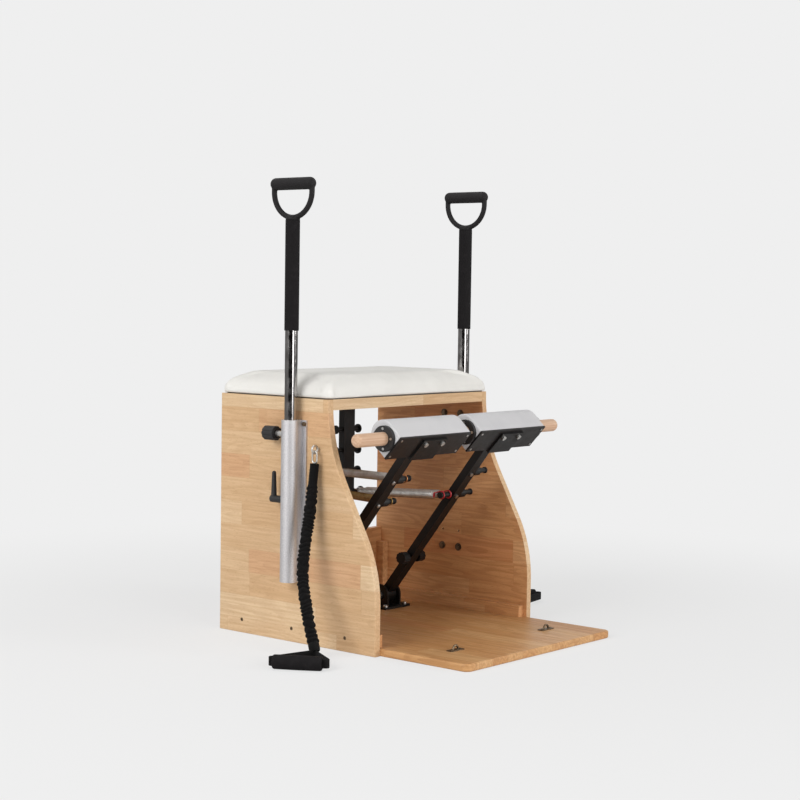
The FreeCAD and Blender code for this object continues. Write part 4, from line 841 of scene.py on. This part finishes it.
def turned(points):
    """Middle, axis and (along, radius) steps of a turned solid, its wider end last."""
    middle = points.mean(axis=0)
    best = None
    for axis in np.linalg.svd(points - middle, full_matrices=False)[2]:
        along = (points - middle) @ axis
        radius = np.linalg.norm(points - middle - np.outer(along, axis), axis=1)
        pairs = sorted(set(zip(np.round(along, 4).tolist(), np.round(radius, 4).tolist())))
        if best is None or len(pairs) < len(best[1]):
            best = (axis, pairs)
    axis, pairs = best
    if SHANK_FIRST * max(pairs[0][1], pairs[1][1]) > max(pairs[-1][1], pairs[-2][1]):
        axis, pairs = -axis, sorted((-along, radius) for along, radius in pairs)
    steps = [pairs.pop(0)]
    while pairs:
        level = min(along for along, _ in pairs)
        here = [pair for pair in pairs if pair[0] == level]
        after = min(here, key=lambda pair: abs(pair[1] - steps[-1][1]))
        pairs.remove(after)
        steps.append(after)
    return Vector(middle), Vector(axis), steps


def socket_screw(middle, axis, steps):
    """Rings of a screw from its turned steps, with a chamfered head and a hexagon socket."""
    top, head = steps[-1]
    height = top - steps[-2][0]
    chamfer = min(CHAMFER_SHARES[0] * head, CHAMFER_SHARES[1] * height)
    depth = min(SOCKET_DEPTHS[0] * height, SOCKET_DEPTHS[1] * head)

    def hexagon(angle):
        return SOCKET_SHARE * head / math.cos((angle + math.pi / 6) % (math.pi / 3) - math.pi / 6)

    rings = [(along, lambda angle, radius=radius: radius) for along, radius in steps[:-1]]
    rings += [(top - chamfer, lambda angle: head), (top, lambda angle: head - chamfer), (top, hexagon),
              (top - depth, hexagon)]
    side = axis.orthogonal().normalized()
    other = axis.cross(side)
    vertices = []
    for along, radius in rings:
        vertices += ring_points(middle + axis * along, side, other, radius, SCREW_SIDES)
    return vertices, len(rings)


def make_screws(node, body, materials, is_dark):
    """Socket screws in place of a node's plain ones."""
    vertices, faces, shades = [], [], []
    for points in loose_solids(node):
        middle, axis, steps = turned(points)
        if abs(middle.x) > PANEL_INSIDE and body == "frame" and axis.x * middle.x < 0:
            axis, steps = -axis, [(-along, radius) for along, radius in reversed(steps)]
        new, rings = socket_screw(middle, axis, steps)
        base = len(vertices)
        vertices += new
        own = ring_faces(rings, SCREW_SIDES, base=base) + end_faces(rings, SCREW_SIDES, base)
        faces += own
        shades += [int(is_dark(middle))] * len(own)
    screws = new_object(node.replace("fasteners", "screws") + "_socketed", vertices, faces, materials["zinc"])
    screws.data.materials.append(materials["dark_screw"])
    screws.data.polygons.foreach_set("material_index", shades)
    screws.data.set_sharp_from_angle(angle=SCREW_SHARP)
    put(screws, body, "zinc_steel", node)


def make_handle(side, materials):
    """Moulded loop handle with soft joints."""
    loop = softened(side + "_d_handle", side + "_loop_handle", LOOP_VOXEL, LOOP_ROUNDS,
                    materials["loop_rubber"])
    put(loop, side + "_handle", "black_foam", side + "_d_handle")


def mesh_values(mesh, value):
    """A value of every vertex of a mesh, one row each."""
    values = np.empty(len(mesh.vertices) * 3)
    mesh.vertices.foreach_get(value, values)
    return values.reshape(-1, 3)


def blow_up(pad):
    """Fill a pad with air under its cover, held along its foot."""
    fill = pad.modifiers.new("cloth", "CLOTH")
    fill.settings.use_pressure = True
    fill.settings.uniform_pressure_force = CUSHION_PRESSURE
    fill.settings.effector_weights.gravity = 0
    fill.settings.vertex_group_mass = "held"
    fill.point_cache.frame_start = 1
    fill.point_cache.frame_end = CUSHION_FRAMES
    for number in range(1, CUSHION_FRAMES + 1):
        SCENE.frame_set(number)
    settled(pad)
    SCENE.frame_set(1)


def tuck_corners(shape, low, high):
    """Press the folds of a cover's corners into its points."""
    middle = (low + high) / 2
    half = (high - low) / 2
    level = np.clip((shape[:, 2] - low[2]) / (high[2] - low[2]), 0, 1)
    for wave_x in (-1, 1):
        for wave_y in (-1, 1):
            ways = np.array([wave_x, wave_y])
            away = shape[:, :2] - (middle[:2] + ways * (half[:2] - TUCK_INSET))
            near = np.exp(-np.sum(away ** 2, axis=1) / TUCK_REACH ** 2)
            turn = np.arctan2(away[:, 1] * wave_y, away[:, 0] * wave_x)
            tuck = near * (1 - level) ** TUCK_FADE * level ** TUCK_RISE
            tuck *= np.sin(turn * TUCK_COUNT) * TUCK_HEIGHT
            shape[:, 0] += wave_x * tuck * np.cos(turn)
            shape[:, 1] += wave_y * tuck * np.sin(turn)


def make_cushion(materials):
    """Seat pad blown up under its cover, flat below, full at its shoulders and tucked at its corners."""
    pad = softened("seat_cushion", "seat_pad", CUSHION_VOXEL, CUSHION_ROUNDS, materials["seat_vinyl"])
    low, high = (np.array(corner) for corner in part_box("seat_cushion"))
    rest = mesh_values(pad.data, "co")
    rise = np.clip((rest[:, 2:] - low[2]) / (high[2] - low[2]), 0, 1)
    full = np.minimum(1.0, SHOULDER_LIP + SHOULDER_RISE * rise)
    full *= np.minimum(1.0, SHOULDER_CROWN * (1 - rise ** SHOULDER_POWER))
    start = rest + mesh_values(pad.data, "normal") * (CUSHION_SHOULDER * full - CUSHION_START * rise)
    start[:, 2] = np.maximum(start[:, 2], low[2])
    pad.data.vertices.foreach_set("co", start.ravel())
    held = pad.vertex_groups.new(name="held")
    held.add([int(index) for index in np.where(start[:, 2] < low[2] + CUSHION_HELD)[0]], 1.0, "REPLACE")
    blow_up(pad)
    move = mesh_values(pad.data, "co") - start
    reach = np.linalg.norm(move, axis=1, keepdims=True)
    shape = start + move * np.minimum(1.0, CUSHION_CAP / np.maximum(reach, SAME_POINT))
    tuck_corners(shape, low, high)
    shape[:, 2] = np.maximum(shape[:, 2], low[2])
    pad.data.vertices.foreach_set("co", shape.ravel())
    pad.data.update()
    finer = pad.modifiers.new("finer", "SUBSURF")
    finer.levels = 1
    finer.render_levels = 1
    settled(pad)
    put(pad, "frame", "white_vinyl", "seat_cushion")


def make_pedal_pad(side, materials):
    """Vinyl cover of a pedal, its edges rolled over."""
    cover = softened(side + "_pedal_pad", side + "_pedal_cover", COVER_VOXEL, COVER_ROUNDS,
                     materials["pedal_vinyl"])
    put(cover, side + "_pedal", "white_vinyl", side + "_pedal_pad")


def make_materials():
    """Every material by name."""
    pale = (srgb(223, 195, 158), srgb(211, 180, 142), srgb(172, 130, 90))
    # Base wood below: the panels' wood darker and redder, painted shade under the seat
    shaded_honey = (srgb(210, 166, 116), srgb(194, 148, 98), srgb(158, 108, 64))
    # Wood below for faces inside the chair (panel insides, cleats, back panel): the panels' wood darker and
    # redder, painted shade
    shaded_warm = (srgb(218, 170, 122), srgb(204, 154, 106), srgb(166, 112, 70))
    return {
        "panel_wood": stave_wood("panel_wood", "Y", "Z", *pale),
        "inner_shaded_wood": stave_wood("inner_shaded_wood", "Y", "Z", *shaded_warm, figured=0.3),
        "base_wood": stave_wood("base_wood", "Y", "X", *shaded_honey, block=0.44, seed=3.0, figured=0.3),
        "cross_shaded_wood": stave_wood("cross_shaded_wood", "X", "Z", *shaded_warm, block=0.40, seed=5.0, figured=0.3),
        "seat_wood": stave_wood("seat_wood", "X", "Z", *pale, block=0.40, seed=5.0),
        "dowel_wood": dowel_wood(),
        "seat_vinyl": vinyl("seat_vinyl", srgb(228, 226, 221), srgb(220, 218, 213)),
        "pedal_vinyl": vinyl("pedal_vinyl", srgb(200, 199, 200), srgb(191, 190, 192)),
        "black_coat": coated_metal("black_coat", srgb(13, 11, 10), srgb(22, 19, 18)),
        "plate_coat": coated_metal("plate_coat", srgb(20, 16, 15), srgb(27, 22, 21), 0.38),
        "black_plastic": moulded_plastic("black_plastic", srgb(20, 18, 18), srgb(28, 26, 26)),
        "backing_board": moulded_plastic("backing_board", srgb(64, 60, 54), srgb(80, 76, 70), 0.7),
        "black_foam": foam(),
        "zinc": plated("zinc", srgb(202, 200, 196), 0.26, srgb(176, 174, 170)),
        "dark_screw": plated("dark_screw", srgb(120, 104, 84), 0.42, srgb(84, 70, 56)),
        "spring_steel": plated("spring_steel", srgb(214, 212, 208), 0.35, srgb(190, 188, 184)),
        "brassy_steel": plated("brassy_steel", srgb(176, 148, 96), 0.3, srgb(140, 112, 66)),
        "copper_hook": plated("copper_hook", srgb(196, 132, 88), 0.3, srgb(160, 100, 64)),
        "chrome": plated("chrome", srgb(172, 169, 168), 0.06, srgb(164, 161, 160), 0.03),
        "satin_aluminium": satin_aluminium(),
        "loop_rubber": moulded_plastic("loop_rubber", srgb(22, 20, 21), srgb(28, 26, 27), 0.62, 0.22),
        "nylon": moulded_plastic("nylon", srgb(228, 226, 220), srgb(216, 214, 208), 0.45),
        "bronze": plated("bronze", srgb(188, 150, 92), 0.36, srgb(150, 116, 66)),
        "red_coat": moulded_plastic("red_coat", srgb(168, 34, 40), srgb(188, 52, 56), 0.32),
        "gathered_cloth": cloth("gathered_cloth", srgb(10, 9, 9), srgb(18, 16, 16), 1500, 1500),
        "thread": cloth("thread", srgb(176, 170, 162), srgb(150, 144, 136), 3000, 3000),
        "webbing": cloth("webbing", srgb(15, 14, 14), srgb(25, 24, 24), 900, 1300),
    }


def both(*names):
    """Names of nodes that come once on each side."""
    return [side + "_" + name for side, _ in SIDES for name in names]


def dress_nodes(materials):
    """Materials of the nodes that show as they are."""
    single = {
        "inner_shaded_wood": ["cleats"],
        "base_wood": ["base_board", *both("pedal_core")],
        "cross_shaded_wood": ["back_panel"],
        "seat_wood": ["seat_board", "seat_dowels"],
        "dowel_wood": ["pedal_dowel"],
        "black_coat": ["spring_post", "post_pegs", *both("pivot_bracket", "pedal_arm", "arm_pegs")],
        "plate_coat": both("pedal_plate"),
        "black_plastic": both("pedal_collars", "plunger", "clamp_lever"),
        "backing_board": ["cushion_board"],
        "black_foam": both("foam_grip"),
        "zinc": ["pivot_pins", "band_eyes", "plunger_bodies", *both("snap_hook")],
        "dark_screw": ["pad_eyes"],
        "chrome": both("handle_pole"),
        "satin_aluminium": both("handle_sleeve"),
        "nylon": ["sleeve_liners"],
        "bronze": both("hub_bushes"),
    }
    for material, nodes in single.items():
        for node in nodes:
            dress(node, materials[material])
    # A panel's inward faces take the darker wood, painted shade of the chair's inside
    for side, way in SIDES:
        panel = NODES[side + "_side_panel"]
        dress(panel.name, materials["panel_wood"], materials["inner_shaded_wood"])
        for face in panel.data.polygons:
            face.material_index = int(face.normal.x * way < -INNER_FACE)


def glow_paint(name, colour):
    """Material that gives off one even colour."""
    material = bpy.data.materials.new(name)
    nodes = Nodes(material)
    nodes.tree.nodes.clear()
    nodes.add("OutputMaterial", Surface=nodes.add("Emission", Color=colour).outputs[0])
    return material


def floor_paint():
    """Pale floor: its own even light far off, and a lit patch under the object that takes its shadow."""
    material = bpy.data.materials.new("pale_floor")
    nodes = Nodes(material)
    nodes.tree.nodes.clear()
    glow = nodes.add("Emission", Color=BACKGROUND).outputs[0]
    plain = nodes.add("BsdfDiffuse", Color=BACKGROUND).outputs[0]
    away = nodes.add("VectorMath", {"operation": "LENGTH"})
    nodes.feed(away.inputs[0], nodes.place())
    patch = nodes.ramp(away.outputs["Value"], *FLOOR_FADE, FLOOR_SHADOW, 0.0)
    shown = nodes.between(patch, glow, plain)
    seen = nodes.between(nodes.add("LightPath").outputs["Is Camera Ray"], plain, shown)
    nodes.add("OutputMaterial", Surface=seen)
    return material


def make_world():
    """Pale surround for the camera and for reflections, softer light for the rest."""
    world = bpy.data.worlds.new("studio")
    SCENE.world = world
    nodes = Nodes(world)
    nodes.tree.nodes.clear()
    ambient = nodes.add("Background", Color=AMBIENT_COLOUR, Strength=AMBIENT).outputs[0]
    shown = nodes.add("Background", Color=BACKGROUND).outputs[0]
    path = nodes.add("LightPath").outputs
    either = nodes.math("MAXIMUM", path["Is Camera Ray"], path["Is Glossy Ray"])
    nodes.add("OutputWorld", Surface=nodes.between(either, ambient, shown))


def make_card():
    """Dark card behind the camera's side, which only reflections see."""
    level = CAMERA_PLACE.copy()
    level.z = 0
    ahead = -level.normalized()
    right = Vector((ahead.y, -ahead.x, 0))
    middle = -ahead * CARD_DISTANCE
    left_end = middle - right * (CARD_DISTANCE * math.tan(CARD_LEFT))
    right_end = middle + right * (CARD_DISTANCE * math.tan(CARD_RIGHT))
    up = Vector((0, 0, CARD_HIGH))
    down = Vector((0, 0, CARD_LOW))
    corners = [left_end + down, right_end + down, right_end + up, left_end + up]
    card = new_object("dark_card", corners, [(0, 1, 2, 3)], glow_paint("dark_card", CARD_COLOUR))
    card.visible_camera = False
    card.visible_diffuse = False
    card.visible_shadow = False
    card.visible_transmission = False


def make_stage():
    """Pale floor and surround, and soft studio lamps."""
    SCENE.view_settings.view_transform = "Standard"
    half = FLOOR_HALF
    corners = [(-half, -half, 0), (half, -half, 0), (half, half, 0), (-half, half, 0)]
    floor = new_object("floor", corners, [(0, 1, 2, 3)], floor_paint())
    make_world()
    make_card()
    for name, place, target, size, watts in LAMPS:
        data = bpy.data.lights.new(name, "AREA")
        data.shape = "DISK"
        data.size = size
        data.energy = watts
        lamp = bpy.data.objects.new(name, data)
        SCENE.collection.objects.link(lamp)
        lamp.location = place
        lamp.rotation_euler = (Vector(target) - Vector(place)).to_track_quat("-Z", "Y").to_euler()


make_camera()
materials = make_materials()
make_band("left", -1, LEFT_ROUTE, LEFT_GRIP, materials)
make_band("right", 1, RIGHT_ROUTE, RIGHT_GRIP, materials)
for spring in SPRINGS:
    make_spring(*spring, materials)
make_cushion(materials)
for side, _ in SIDES:
    make_pedal_pad(side, materials)
    make_handle(side, materials)
    make_screws(side + "_pedal_fasteners", side + "_pedal", materials, lambda middle: False)
make_screws("frame_screws", "frame", materials,
            lambda middle: abs(middle.x) > PANEL_INSIDE or middle.y < EYE_SCREWS)
dress_nodes(materials)
make_stage()
